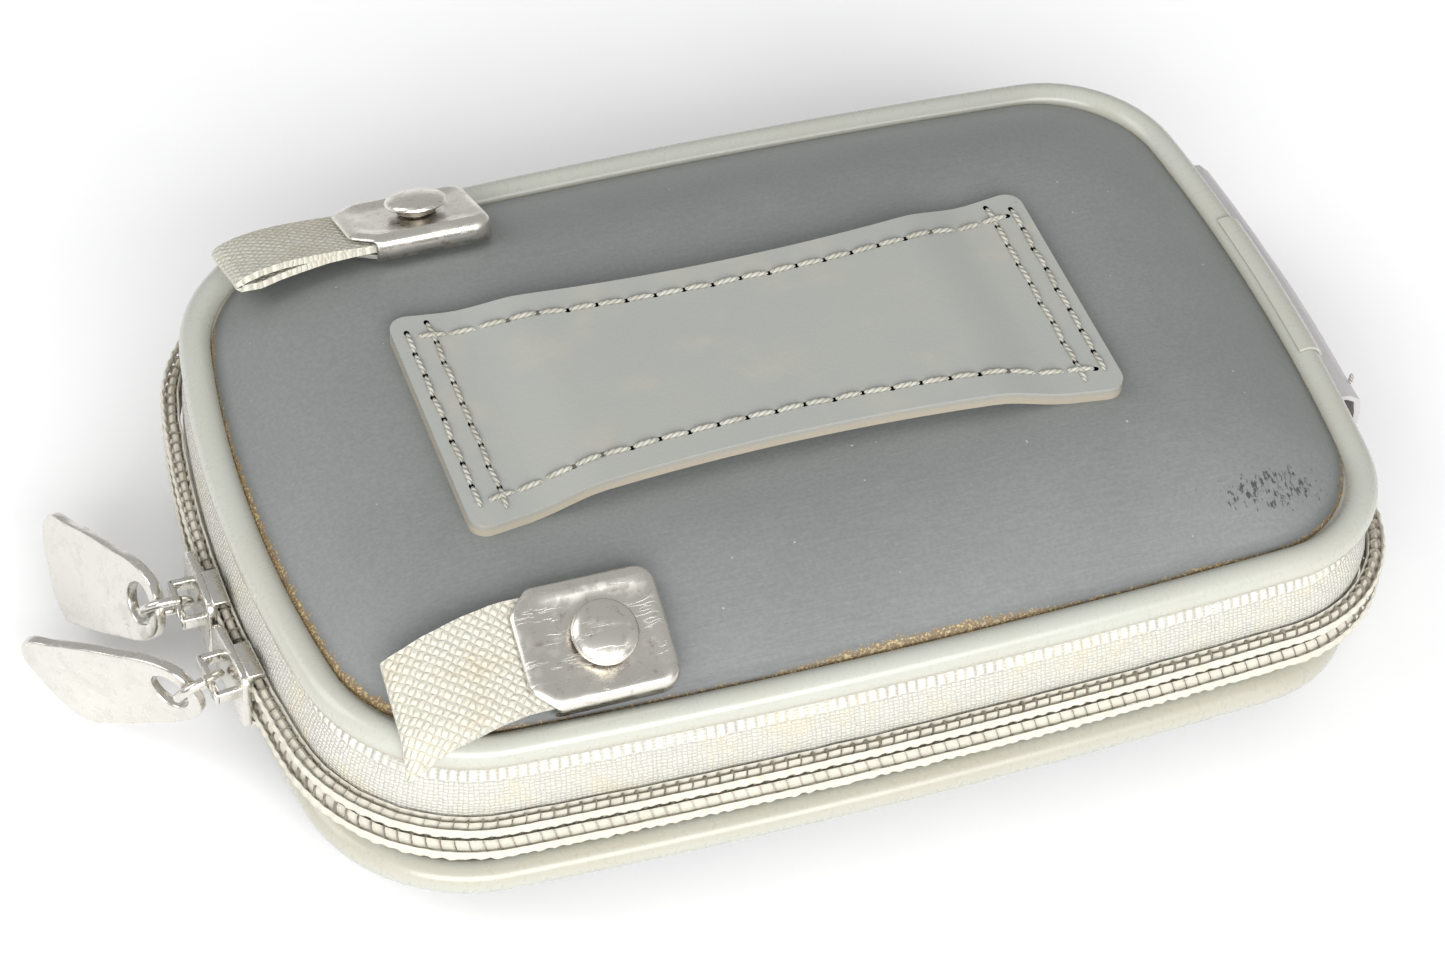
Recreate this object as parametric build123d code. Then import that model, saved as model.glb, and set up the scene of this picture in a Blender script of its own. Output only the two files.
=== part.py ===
"""Zip-round compact-camera pouch: two moulded half shells, a two-way coil zipper and a vinyl hinge.

Frame: millimetres, +Z up, origin at the centre of the flat face that the pouch rests on.
+X is the hinge end, -X the end where the two zip pulls meet, -Y the long side with the near strap tab.
Rings that follow the rim are drawn as (inset, height): inset is measured inwards from the outside of
the piping, height upwards from the plane where the two halves meet. The lower half is the mirror image
of the upper one.
"""
from build123d import *
from math import acos, asin, cos, degrees, hypot, pi, sin, sqrt
import os

# ---- outside of the pouch ----
LENGTH = 128.2            # over the piping, hinge end to zip end
WIDTH = 86.0              # over the piping, side to side
THICKNESS = 36.0          # flat of the lower crown to flat of the upper crown
ZIP_END_BOW = 5.8         # how far the zip end bulges past its corners
HINGE_END_BOW = 3.4
SIDE_BOW = 2.2
ZIP_CORNER_RADIUS = 19.5
HINGE_CORNER_RADIUS = 16.0

# ---- moulded shells ----
CROWN_RISE = 6.6          # from the seam to the flat of the crown
CROWN_WIDTH = 19.0        # how far the rounded border reaches in from the seam
CROWN_STEPS = 6
CROWN_CORNER_SHARE = 0.5  # how fast the crown's corners sharpen with the inset
SKIN = 0.7
FOAM = 2.0
LINING = 0.4

# ---- piping and seam ----
BEAD_DIAMETER = 3.7
SEAM_INSET = BEAD_DIAMETER  # where the skin meets the bead
SEAM_ALLOWANCE = 4.0      # width of the turned-in edges that are sewn together
PIPING_WEB = 0.7
SLEEVE_WALL = 0.35        # sleeve that covers the joint of the piping
SLEEVE_LENGTH = 23.0
BINDING = 0.4
BINDING_LEG = 1.4

# ---- zipper ----
TAPE = 0.6
COIL_HEIGHT = 3.0         # one half of the closed chain
COIL_DEPTH = 1.75
COIL_ROUNDING = 0.5
COIL_GAP = 0.12           # between the two halves of the chain
TAPE_INSET = 0.05         # of the tape's middle, beside the chain
COIL_SEAT = 0.05          # between the tape and the chain
TAPE_HEM = 0.4            # from the middle plane to the edge of the tape
TAPE_TURN = 1.3           # from the skin's edge, and from the outside of the piping, to the tape's bends
TAPE_DROP = BEAD_DIAMETER / 2 + 1.35  # between those two bends
TAPE_STRAIGHT = 0.6       # the tape stands upright from here above the chain
OPEN_CHAIN = 0.75         # half gap of the chain along the sliders' travel
SLIDER_ZONE = 27.0        # the sliders travel within this distance of the middle of the zip end

SLIDER_LENGTH = 10.5
SLIDER_WIDTH = 8.5
SLIDER_TAIL_WIDTH = 6.6
SLIDER_PLATE = 1.0
SLIDER_CLEARANCE = 0.3
PLATE_CLEARANCE = 0.25    # between the outer plate and the chain
SLIDER_POST = 1.2
POST_START = 0.3          # shares of half the slider's length, from its middle towards the nose
POST_END = 0.8
LIP_START = -0.1
LIP_END = 1.0
INNER_PLATE_MARGIN = 0.4  # the inner plate is shorter than the outer one at each end
INNER_PLATE_REACH = 0.2   # and reaches this far past the chain
BRIDGE_LENGTH = 5.6
BRIDGE_WIRE = 1.1
BRIDGE_LEG_WIDTH = 1.76
NEAR_SLIDER_Y = -12.6
FAR_SLIDER_Y = -1.6

LINK_WIRE = 1.1
BRIDGE_GAP = LINK_WIRE + 0.4  # under the bridge
LINK_INSIDE = 4.1
LINK_CLEARANCE = 0.15     # between the link and the bridge
PULL_CLEARANCE = 0.35     # between the link and the rim of the pull

PULL_LENGTH = 24.0
PULL_ROOT_WIDTH = 7.0
PULL_WIDTH = 12.6
PULL_THICKNESS = 1.3
PULL_RIM = 1.5
PULL_HOLE_LENGTH = 4.6
PULL_HOLE_WIDTH = 4.8
PULL_SHOULDER = 0.6       # where the rounded root ends
PULL_BELLY_AT = 0.4       # share of the length, and of the width, that the long edges pass through
PULL_BELLY = 0.86
PULL_LOWER_TIP = 3.0      # the lower edge ends this far before the tip
PULL_UPPER_TIP = 1.0
# direction from root to tip, and direction of the upper edge, of each hanging pull
NEAR_PULL_AIM = Vector(-0.55, 0.68, -0.49)
NEAR_PULL_RISE = Vector(-0.39, 0.31, 0.86)
FAR_PULL_AIM = Vector(-0.33, 0.82, -0.46)
FAR_PULL_RISE = Vector(0.06, 0.50, 0.86)

# ---- hinge strip ----
STRIP = 0.8
STRIP_START = -16.0
STRIP_END = 25.0
STRIP_OVERLAP = 4.0       # how far the strip covers the ends of the zipper tape
STRIP_STAND_OFF = 1.5     # how far its middle stands out past the piping
STRIP_SHOULDER = 0.7      # share of that at half height
STRIP_MARGIN = 0.1        # between the strip's sewn-in edge and the ends of the tape
HINGE_LINING = 0.5
LINING_DROP = 4.0         # height of the lining's slope below the binding
LINING_SLOPE_INSET = 2.6  # insets of its slope and of its fold
LINING_FOLD_INSET = 2.0
LINING_MARGIN = 2.0       # it is this much shorter than the strip at each end
COIL_MARGIN = 1.0         # from the strip to the ends of the chain
FOLD_GAP = 0.1

# ---- belt loop ----
LOOP_X = -2.4
LOOP_Y = -0.8
LOOP_LENGTH = 76.4
LOOP_WIDTH = 33.5
LOOP_WAIST = 27.5
LOOP_CORNER = 3.0
LOOP_FACE = 0.9
LOOP_BACKING = 0.8
LOOP_PAD = 6.5            # length of each sewn-down end
LOOP_RAMP = 9.0
LOOP_GAP = 1.4            # room for the belt under the middle
STITCH_PITCH = 3.4
STITCH_LENGTH = 2.7
STITCH_THREAD = 0.6
STITCH_MARGIN = 1.7
STITCH_INNER_ROW = 4.4
STITCH_ROW_GAP = 2.0      # between the rows along the sides and the inner rows across

# ---- strap anchors ----
ANCHOR_X = -LENGTH / 2 + 32.6
ANCHOR_Y = WIDTH / 2 - 10.5  # of the rivets, on the crown
CLIP_BACK = 7.3           # from the rivet to the closed end
CLIP_FRONT = 9.2          # from the rivet to the mouth
CLIP_WIDTH = 13.8
CLIP_SHEET = 0.6
CLIP_BASE = 0.5
CLIP_CORNER = 2.2
CLIP_SEAT = 0.1           # the plate stands this far off the crown, on the coating
CLIP_CHAMFER = 2.6
MOUTH_CLEARANCE = 0.15    # on each side of the strap
MOUTH_DEPTH = 0.5         # the mouth is cut this far past the chamfers
WEBBING = 0.9             # one layer
CLIP_HEIGHT = CLIP_BASE + 2 * WEBBING + CLIP_SHEET
WEBBING_WIDTH = 12.3
WEBBING_REACH = 14.1      # past the clip
WEBBING_BACK_GAP = 1.2    # between its cut ends and the clip's closed end
WEBBING_DROOP = 0.6
WEBBING_PARTING = 0.7     # share of the way to the fold at which the layers have parted
WEBBING_EARLY_DROOP = 0.6  # share of the droop reached there
WEBBING_EYE = 0.7         # opening between the layers at the fold
LAYER_GAP = 0.02          # each face of the strap stays this far inside its nominal thickness
RIVET_SHANK = 3.0
RIVET_NECK = 4.6
RIVET_NECK_HEIGHT = 0.7
RIVET_CAP = 7.3
RIVET_CAP_HEIGHT = 1.4
WASHER = 5.6
WASHER_THICKNESS = 0.5
WASHER_GAP = 0.16
RIVET_TAIL = 4.0
RIVET_TAIL_HEIGHT = 0.5

MIDDLE = THICKNESS / 2
SEAM_TOP = THICKNESS / 2 - CROWN_RISE            # height of the seam above the middle plane
SKIN_EDGE = 0.55                                 # skin thickness where it is pressed into the seam
WEB_TOP = SEAM_TOP - SKIN_EDGE
WEB_BOTTOM = WEB_TOP - PIPING_WEB
BEAD_HEIGHT = (WEB_TOP + WEB_BOTTOM) / 2
BEAD = BEAD_DIAMETER / 2
TAPE_EDGE = WEB_BOTTOM - TAPE
TAPE_MIDDLE = WEB_BOTTOM - TAPE / 2
ALLOWANCE_END = SEAM_INSET + SEAM_ALLOWANCE
SEWN_EDGE = [(ALLOWANCE_END, TAPE_MIDDLE), (SEAM_INSET + TAPE_TURN, TAPE_MIDDLE)]
UNDER_BEAD = (TAPE_TURN, TAPE_MIDDLE - TAPE_DROP)  # where the tape comes out from under the bead
COIL_BACK = COIL_SEAT + TAPE / 2 - TAPE_INSET    # the chain starts this far outside the outline
COIL_OUT = COIL_BACK + COIL_DEPTH
PLATE_IN = COIL_OUT + PLATE_CLEARANCE
BRIDGE_OUT = PLATE_IN + SLIDER_PLATE + BRIDGE_GAP + BRIDGE_WIRE / 2
CROWN_RADIUS = (CROWN_WIDTH ** 2 + CROWN_RISE ** 2) / (2 * CROWN_RISE)


# ---------------------------------------------------------------- plan outline
def arc_radius(half_chord, bow):
    """Radius of the arc with this half chord and this bow."""
    return (half_chord ** 2 + bow ** 2) / (2 * bow)


HALF_CHORD = WIDTH / 2 - SIDE_BOW
ZIP_END_RADIUS = arc_radius(HALF_CHORD, ZIP_END_BOW)
HINGE_END_RADIUS = arc_radius(HALF_CHORD, HINGE_END_BOW)
SIDE_RADIUS = arc_radius((LENGTH - ZIP_END_BOW - HINGE_END_BOW) / 2, SIDE_BOW)
SIDE_CENTRE_X = (ZIP_END_BOW - HINGE_END_BOW) / 2
ZIP_END_CENTRE = -LENGTH / 2 + ZIP_END_RADIUS
HINGE_END_CENTRE = LENGTH / 2 - HINGE_END_RADIUS


def meeting_point(centre_a, radius_a, centre_b, radius_b, towards):
    """The crossing of two circles that lies nearer to a point."""
    dx, dy = centre_b[0] - centre_a[0], centre_b[1] - centre_a[1]
    gap = hypot(dx, dy)
    along = (gap ** 2 + radius_a ** 2 - radius_b ** 2) / (2 * gap)
    across = sqrt(radius_a ** 2 - along ** 2)
    foot = (centre_a[0] + along * dx / gap, centre_a[1] + along * dy / gap)
    step_x, step_y = across * dy / gap, across * dx / gap
    crossings = [(foot[0] - step_x, foot[1] + step_y), (foot[0] + step_x, foot[1] - step_y)]
    return min(crossings, key=lambda p: hypot(p[0] - towards[0], p[1] - towards[1]))


def point_from(centre, through, radius):
    """The point at a distance from a centre, on the line through another point."""
    dx, dy = through[0] - centre[0], through[1] - centre[1]
    return (centre[0] + radius * dx / hypot(dx, dy), centre[1] + radius * dy / hypot(dx, dy))


def corner(end_centre_x, end_radius, radius, inset, sign):
    """Tangent points, middle and centre of the +Y corner arc at one end."""
    end_centre, side_centre = (end_centre_x, 0.0), (SIDE_CENTRE_X, WIDTH / 2 - SIDE_RADIUS)
    end_reach, side_reach = end_radius - inset, SIDE_RADIUS - inset
    target = (sign * LENGTH / 2, WIDTH / 2)
    centre = meeting_point(end_centre, end_reach - radius, side_centre, side_reach - radius, target)
    on_end = point_from(end_centre, centre, end_reach)
    on_side = point_from(side_centre, centre, side_reach)
    middle_way = ((on_end[0] + on_side[0]) / 2, (on_end[1] + on_side[1]) / 2)
    return on_end, point_from(centre, middle_way, radius), on_side


def outline(inset, height, corner_share=1.0):
    """The pouch's outline, moved inwards by inset, as a closed wire at a height. It runs anticlockwise."""
    zip_radius = ZIP_CORNER_RADIUS - corner_share * inset
    hinge_radius = HINGE_CORNER_RADIUS - corner_share * inset
    hinge_end, hinge_mid, hinge_side = corner(HINGE_END_CENTRE, HINGE_END_RADIUS, hinge_radius, inset, 1)
    zip_end, zip_mid, zip_side = corner(ZIP_END_CENTRE, ZIP_END_RADIUS, zip_radius, inset, -1)
    top = (SIDE_CENTRE_X, WIDTH / 2 - inset)
    east, west = (LENGTH / 2 - inset, 0.0), (-LENGTH / 2 + inset, 0.0)

    def at(point, side=1):
        return (point[0], side * point[1], height)

    return Wire([
        ThreePointArc(at(hinge_end, -1), at(east), at(hinge_end)),
        ThreePointArc(at(hinge_end), at(hinge_mid), at(hinge_side)),
        ThreePointArc(at(hinge_side), at(top), at(zip_side)),
        ThreePointArc(at(zip_side), at(zip_mid), at(zip_end)),
        ThreePointArc(at(zip_end), at(west), at(zip_end, -1)),
        ThreePointArc(at(zip_end, -1), at(zip_mid, -1), at(zip_side, -1)),
        ThreePointArc(at(zip_side, -1), at(top, -1), at(hinge_side, -1)),
        ThreePointArc(at(hinge_side, -1), at(hinge_mid, -1), at(hinge_end, -1)),
    ])


# ---------------------------------------------------------------- rings that follow the rim
def ring(profile):
    """A closed ring: a face drawn as (inset, height) carried round the outline."""
    path = outline(0.0, MIDDLE)
    start = Plane(origin=path @ 0, x_dir=Vector(-1, 0, 0).rotate(Axis.Z, start_turn()), z_dir=path % 0)
    return sweep(start * profile, path=path)


def start_turn():
    """Turn of the inward direction at the point where the outline starts, in degrees."""
    start = corner(HINGE_END_CENTRE, HINGE_END_RADIUS, HINGE_CORNER_RADIUS, 0.0, 1)[0]
    return -degrees(asin(start[1] / HINGE_END_RADIUS))


def drawn_back(end, neighbour, distance):
    """The end of a broken line, moved towards its neighbour."""
    dx, dy = neighbour[0] - end[0], neighbour[1] - end[1]
    share = distance / hypot(dx, dy)
    return (end[0] + share * dx, end[1] + share * dy)


def band(points, thickness):
    """A strip of even thickness along a broken line of (inset, height) points, its round ends inside it."""
    half = thickness / 2
    first = drawn_back(points[0], points[1], half)
    last = drawn_back(points[-1], points[-2], half)
    line = Wire(Polyline(first, *points[1:-1], last).edges())
    return make_face(line.offset_2d(half, kind=Kind.ARC, side=Side.BOTH, closed=True).edges())


def block(low, high):
    """A box between two corners."""
    size = [b - a for a, b in zip(low, high)]
    middle = [(a + b) / 2 for a, b in zip(low, high)]
    return Pos(*middle) * Box(*size)


def end_block(sign, y_low, y_high, z_low=-1.0, z_high=THICKNESS + 1.0):
    """A box over one end of the pouch, between two places along Y."""
    reach = LENGTH / 2 + 10.0
    low_x, high_x = sorted((sign * LENGTH / 4, sign * reach))
    return block((low_x, y_low, z_low), (high_x, y_high, z_high))


def mirrored(shape):
    """The same piece of the lower half."""
    return mirror(shape, about=Plane.XY.offset(MIDDLE))


# ---------------------------------------------------------------- moulded shells
def crown_solid(depth):
    """The upper half shell filled in, with its surface moved inwards by depth."""
    reach = CROWN_RADIUS - depth
    rim_angle = acos((CROWN_RADIUS - CROWN_RISE) / reach)
    sections = []
    for step in range(CROWN_STEPS + 1):
        angle = rim_angle * (1 - step / CROWN_STEPS)
        inset = SEAM_INSET + CROWN_WIDTH - reach * sin(angle)
        height = THICKNESS - CROWN_RADIUS + reach * cos(angle)
        sections.append(outline(inset, height, CROWN_CORNER_SHARE))
    return Solid.make_loft(sections, ruled=True)


def crown_height(x, y):
    """Height of the crown near a long side, and its slope there in degrees."""
    inset = SIDE_RADIUS - hypot(x - SIDE_CENTRE_X, y - WIDTH / 2 + SIDE_RADIUS)
    angle = asin((SEAM_INSET + CROWN_WIDTH - inset) / CROWN_RADIUS)
    return THICKNESS - CROWN_RADIUS + CROWN_RADIUS * cos(angle), degrees(angle)


def shell_layers():
    """Skin, foam and lining of the upper half, with the rivets' holes."""
    solids = [crown_solid(depth) for depth in (0, SKIN, SKIN + FOAM, SKIN + FOAM + LINING)]
    skin_edge = Pos((SEAM_INSET + ALLOWANCE_END) / 2, (WEB_TOP + SEAM_TOP) / 2) * Rectangle(
        SEAM_ALLOWANCE, SKIN_EDGE)
    skin = solids[0] - solids[1] + ring(skin_edge)
    pressed = ring(binding_envelope())
    foam = solids[1] - solids[2] - pressed
    lining = solids[2] - solids[3] - pressed
    return {"skin": skin, "foam": foam, "lining": lining}


# ---------------------------------------------------------------- piping and binding
def piping():
    """The bead with its sewn-in web."""
    bead = Pos(BEAD, BEAD_HEIGHT) * Circle(BEAD)
    web = Pos((BEAD + ALLOWANCE_END) / 2, BEAD_HEIGHT) * Rectangle(ALLOWANCE_END - BEAD, PIPING_WEB)
    return ring(bead + web)


def piping_sleeve():
    """The short sleeve over the bead where the two ends of the piping meet, open towards the seam."""
    tube = Circle(BEAD + SLEEVE_WALL) - Circle(BEAD) - Pos(BEAD, 0) * Rectangle(BEAD, 4 * BEAD)
    return ring(Pos(BEAD, BEAD_HEIGHT) * tube) & end_block(1, -SLEEVE_LENGTH / 2, SLEEVE_LENGTH / 2)


def binding_envelope():
    """The section that the binding and the edges in it fill."""
    outer = Rectangle(BINDING_LEG + BINDING, SEAM_TOP - TAPE_EDGE + 2 * BINDING)
    return Pos(ALLOWANCE_END + (BINDING - BINDING_LEG) / 2, (SEAM_TOP + TAPE_EDGE) / 2) * outer


def binding():
    """The folded tape that covers the raw edges inside."""
    edges = Pos(ALLOWANCE_END - BINDING_LEG / 2, (SEAM_TOP + TAPE_EDGE) / 2) * Rectangle(
        BINDING_LEG, SEAM_TOP - TAPE_EDGE)
    return ring(binding_envelope() - edges)


# ---------------------------------------------------------------- zipper
def tape():
    """The zipper tape: sewn in under the piping, then down to the chain. It stops under the hinge strip."""
    line = [*SEWN_EDGE, UNDER_BEAD, (TAPE_INSET, COIL_HEIGHT + TAPE_STRAIGHT), (TAPE_INSET, TAPE_HEM)]
    return ring(band(line, TAPE)) - hinge_opening(0.0) - sliders_way(OPEN_CHAIN)


def hinge_opening(margin):
    """The stretch of the hinge end where the strip takes the tape's place in the seam."""
    return end_block(1, STRIP_START + STRIP_OVERLAP + margin, STRIP_END - STRIP_OVERLAP - margin)


def sliders_way(half_gap):
    """The space along the zip end in which the sliders' posts travel."""
    return end_block(-1, -SLIDER_ZONE, SLIDER_ZONE, MIDDLE - half_gap, MIDDLE + half_gap)


def coil():
    """One half of the chain, ending where the hinge strip begins."""
    shape = RectangleRounded(COIL_DEPTH, COIL_HEIGHT - COIL_GAP / 2, COIL_ROUNDING)
    section = Pos(-COIL_BACK - COIL_DEPTH / 2, (COIL_HEIGHT + COIL_GAP / 2) / 2) * shape
    return ring(section) - end_block(1, STRIP_START - COIL_MARGIN, STRIP_END + COIL_MARGIN)


# ---------------------------------------------------------------- hinge
def hinge_strip():
    """The half of the vinyl strip above the fold."""
    clear = (TAPE + STRIP) / 2 + COIL_SEAT
    brow = (UNDER_BEAD[0] - clear, UNDER_BEAD[1] + clear / 2)
    shoulder = (-STRIP_STAND_OFF * STRIP_SHOULDER, brow[1] / 2)
    outside = ring(band([brow, shoulder, (-STRIP_STAND_OFF, -STRIP)], STRIP))
    sewn = ring(band([*SEWN_EDGE, UNDER_BEAD, (brow[0] - STRIP / 2, brow[1] - STRIP)], TAPE))
    above_fold = MIDDLE + FOLD_GAP / 2
    return (outside & end_block(1, STRIP_START, STRIP_END, above_fold)) + (sewn & hinge_opening(STRIP_MARGIN))


def hinge_lining():
    """The half above the fold of the fabric that closes the hinge inside."""
    edge = TAPE_EDGE - BINDING - HINGE_LINING
    slope_end = (LINING_SLOPE_INSET, edge - LINING_DROP)
    fold = (LINING_FOLD_INSET, -HINGE_LINING)
    line = [(ALLOWANCE_END, edge), (ALLOWANCE_END - BINDING_LEG, edge), slope_end, fold]
    start, end = STRIP_START + LINING_MARGIN, STRIP_END - LINING_MARGIN
    return ring(band(line, HINGE_LINING)) & end_block(1, start, end, MIDDLE + FOLD_GAP / 2)


# ---------------------------------------------------------------- sliders, links and pulls
class SliderPlace:
    """Where a slider sits on the curved zip end: outwards, along the chain, and up."""

    def __init__(self, y):
        x = ZIP_END_CENTRE - sqrt(ZIP_END_RADIUS ** 2 - y ** 2)
        outwards = Vector(x - ZIP_END_CENTRE, y, 0).normalized()
        self.plane = Plane(origin=(x, y, MIDDLE), x_dir=outwards, z_dir=(0, 0, 1))
        self.outwards = outwards
        self.along = self.plane.y_dir
        self.bridge = Vector(x, y, MIDDLE) + outwards * BRIDGE_OUT


def slider(place):
    """The slider's body: outer plate with lips, inner plate, post and the bridge that the link hangs on."""
    half, half_width, half_tail = SLIDER_LENGTH / 2, SLIDER_WIDTH / 2, SLIDER_TAIL_WIDTH / 2
    shape = Polygon((-half, -half_tail), (0, -half_width), (half, -half_width), (half, half_width),
                    (0, half_width), (-half, half_tail), align=None)
    face = Plane(origin=(0, 0, 0), x_dir=(0, 1, 0), z_dir=(1, 0, 0))
    outer = extrude(face.offset(PLATE_IN) * shape, SLIDER_PLATE)
    lip_in = SLIDER_CLEARANCE + TAPE / 2
    lip_low = COIL_HEIGHT + SLIDER_CLEARANCE
    inner_out = -(TAPE_INSET + TAPE / 2 + SLIDER_CLEARANCE)
    inner_half = half - INNER_PLATE_MARGIN
    inner_reach = lip_low + INNER_PLATE_REACH
    half_post = SLIDER_POST / 2
    inner = block((inner_out - SLIDER_PLATE, -inner_half, -inner_reach), (inner_out, inner_half, inner_reach))
    post = block((inner_out, half * POST_START, -half_post), (PLATE_IN, half * POST_END, half_post))
    bar = Pos(BRIDGE_OUT, 0, 0) * Rot(90, 0, 0) * Cylinder(BRIDGE_WIRE / 2, BRIDGE_LENGTH)
    body = outer + inner + post + bar
    for side in (1, -1):
        low, high = sorted((side * lip_low, side * half_width))
        body += block((lip_in, half * LIP_START, low), (PLATE_IN, half * LIP_END, high))
        leg = Box(BRIDGE_GAP + BRIDGE_WIRE, BRIDGE_WIRE, BRIDGE_LEG_WIDTH)
        body += Pos(PLATE_IN + SLIDER_PLATE + (BRIDGE_GAP + BRIDGE_WIRE) / 2, side * BRIDGE_LENGTH / 2, 0) * leg
    return place.plane * body


def link_frame(place, rise):
    """Centre, normal and outward direction of the ring that joins the bridge to the pull."""
    outward = rise.cross(place.along).normalized()
    if outward.dot(place.outwards) < 0:
        outward = outward * -1
    toward_up = place.along if place.along.dot(rise) > 0 else place.along * -1
    normal = (toward_up + rise.normalized()).normalized()
    centre = place.bridge + outward * (LINK_INSIDE / 2 - LINK_CLEARANCE - BRIDGE_WIRE / 2)
    return centre, normal, outward


def link(place, rise):
    """The round link."""
    centre, normal, outward = link_frame(place, rise)
    ring_plane = Plane(origin=centre, x_dir=outward, z_dir=normal)
    return ring_plane * Torus((LINK_INSIDE + LINK_WIRE) / 2, LINK_WIRE / 2)


def pull(place, aim, rise):
    """The leaf-shaped pull, from the rolled rim of its eye to its oblique tip."""
    centre, _, outward = link_frame(place, rise)
    root = centre + outward * (LINK_INSIDE / 2 - PULL_CLEARANCE - PULL_RIM / 2)
    straight = (aim - rise * (aim.dot(rise) / rise.dot(rise))).normalized()
    plane = Plane(origin=root, x_dir=straight, z_dir=straight.cross(rise.normalized()))
    half_root, half_tip = PULL_ROOT_WIDTH / 2, PULL_WIDTH / 2
    belly, half_belly = PULL_LENGTH * PULL_BELLY_AT, half_tip * PULL_BELLY
    lower_root, upper_root = (PULL_SHOULDER, -half_root), (PULL_SHOULDER, half_root)
    lower_tip, upper_tip = (PULL_LENGTH - PULL_LOWER_TIP, -half_tip), (PULL_LENGTH - PULL_UPPER_TIP, half_tip)
    edge = [
        ThreePointArc(upper_root, (-PULL_RIM / 2, 0), lower_root),
        Spline(lower_root, (belly, -half_belly), lower_tip),
        ThreePointArc(lower_tip, (PULL_LENGTH, 0), upper_tip),
        Spline(upper_tip, (belly, half_belly), upper_root),
    ]
    leaf = extrude(make_face(edge), PULL_THICKNESS / 2, both=True)
    opening = Pos((PULL_RIM + PULL_HOLE_LENGTH) / 2, 0) * Ellipse(PULL_HOLE_LENGTH / 2, PULL_HOLE_WIDTH / 2)
    return plane * (leaf - extrude(opening, PULL_RIM, both=True))


# ---------------------------------------------------------------- belt loop
def loop_plan():
    """The loop's outline with its two waisted long sides."""
    half_length, half_width, half_waist = LOOP_LENGTH / 2, LOOP_WIDTH / 2, LOOP_WAIST / 2
    sides = [
        ThreePointArc((-half_length, -half_width), (0, -half_waist), (half_length, -half_width)),
        Line((half_length, -half_width), (half_length, half_width)),
        ThreePointArc((half_length, half_width), (0, half_waist), (-half_length, half_width)),
        Line((-half_length, half_width), (-half_length, -half_width)),
    ]
    return make_face(sides)


def loop_height(x):
    """Height of the loop's underside above the crown, at a distance from its middle."""
    flat = LOOP_LENGTH / 2 - LOOP_PAD
    if abs(x) >= flat:
        return 0.0
    if abs(x) <= flat - LOOP_RAMP:
        return LOOP_GAP
    return LOOP_GAP * (flat - abs(x)) / LOOP_RAMP


def loop_layer(bottom, thickness):
    """One layer of the loop, sewn down at both ends and lifted between them."""
    plan = fillet(loop_plan().vertices(), LOOP_CORNER)
    end, flat = LOOP_LENGTH / 2 + 1, LOOP_LENGTH / 2 - LOOP_PAD
    stations = [-end, -flat, -flat + LOOP_RAMP, flat - LOOP_RAMP, flat, end]
    low = [(x, loop_height(x) + bottom) for x in stations]
    high = [(x, z + thickness) for x, z in reversed(low)]
    side_view = extrude(Plane.XZ * Polygon(*low, *high, align=None), LOOP_WIDTH, both=True)
    body = side_view & extrude(plan, THICKNESS)
    return Pos(LOOP_X, LOOP_Y, THICKNESS) * body


def loop_stitches():
    """Every stitch on the loop's face, as separate short threads."""
    top = LOOP_BACKING + LOOP_FACE
    half_length = LOOP_LENGTH / 2
    places = []
    rows = [half_length - STITCH_MARGIN, half_length - STITCH_INNER_ROW]
    across = int((LOOP_WIDTH - 2 * STITCH_MARGIN) / STITCH_PITCH)
    for row in rows:
        for side in (1, -1):
            for number in range(across):
                places.append((side * row, (number - (across - 1) / 2) * STITCH_PITCH, 90.0))
    sag = (LOOP_WIDTH - LOOP_WAIST) / 2
    radius = arc_radius(half_length, sag)
    between = int(2 * (rows[1] - STITCH_ROW_GAP) / STITCH_PITCH)
    for side in (1, -1):
        for number in range(between):
            x = (number - (between - 1) / 2) * STITCH_PITCH
            y = LOOP_WAIST / 2 - STITCH_MARGIN + radius - sqrt(radius ** 2 - x ** 2)
            places.append((x, side * y, side * degrees(asin(x / radius))))
    thread = Rot(0, 90, 0) * Cylinder(STITCH_THREAD / 2, STITCH_LENGTH)
    stitches = []
    for x, y, turn in places:
        reach = STITCH_LENGTH / 2 * abs(cos(turn * pi / 180))
        lift = max(loop_height(x - reach), loop_height(x + reach)) + top + STITCH_THREAD / 2
        stitches.append(Pos(LOOP_X + x, LOOP_Y + y, THICKNESS + lift) * Rot(0, 0, turn) * thread)
    return stitches


# ---------------------------------------------------------------- strap anchors
def anchor_place(sign):
    """Frame of a strap anchor: X along the pouch, Z square to the crown."""
    height, slope = crown_height(ANCHOR_X, ANCHOR_Y)
    return Pos(ANCHOR_X, sign * ANCHOR_Y, height) * Rot(-sign * slope, 0, 0) * Pos(0, 0, CLIP_SEAT)


def clip_plan(margin=0.0):
    """The clip's outline: rounded corners away from the strap and cut corners beside it."""
    front, back, y = -CLIP_FRONT + margin, CLIP_BACK - margin, CLIP_WIDTH / 2 - margin
    cut = CLIP_CHAMFER
    points = [(front, cut - y), (front + cut, -y), (back, -y), (back, y), (front + cut, y), (front, y - cut)]
    plan = Polygon(*points, align=None)
    rounded = plan.vertices().filter_by(lambda corner_point: corner_point.X > back / 2)
    return fillet(rounded, CLIP_CORNER - margin)


def clip_base():
    """The flat plate under the strap."""
    return extrude(clip_plan(CLIP_SHEET), CLIP_BASE) - shank_hole()


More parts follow.
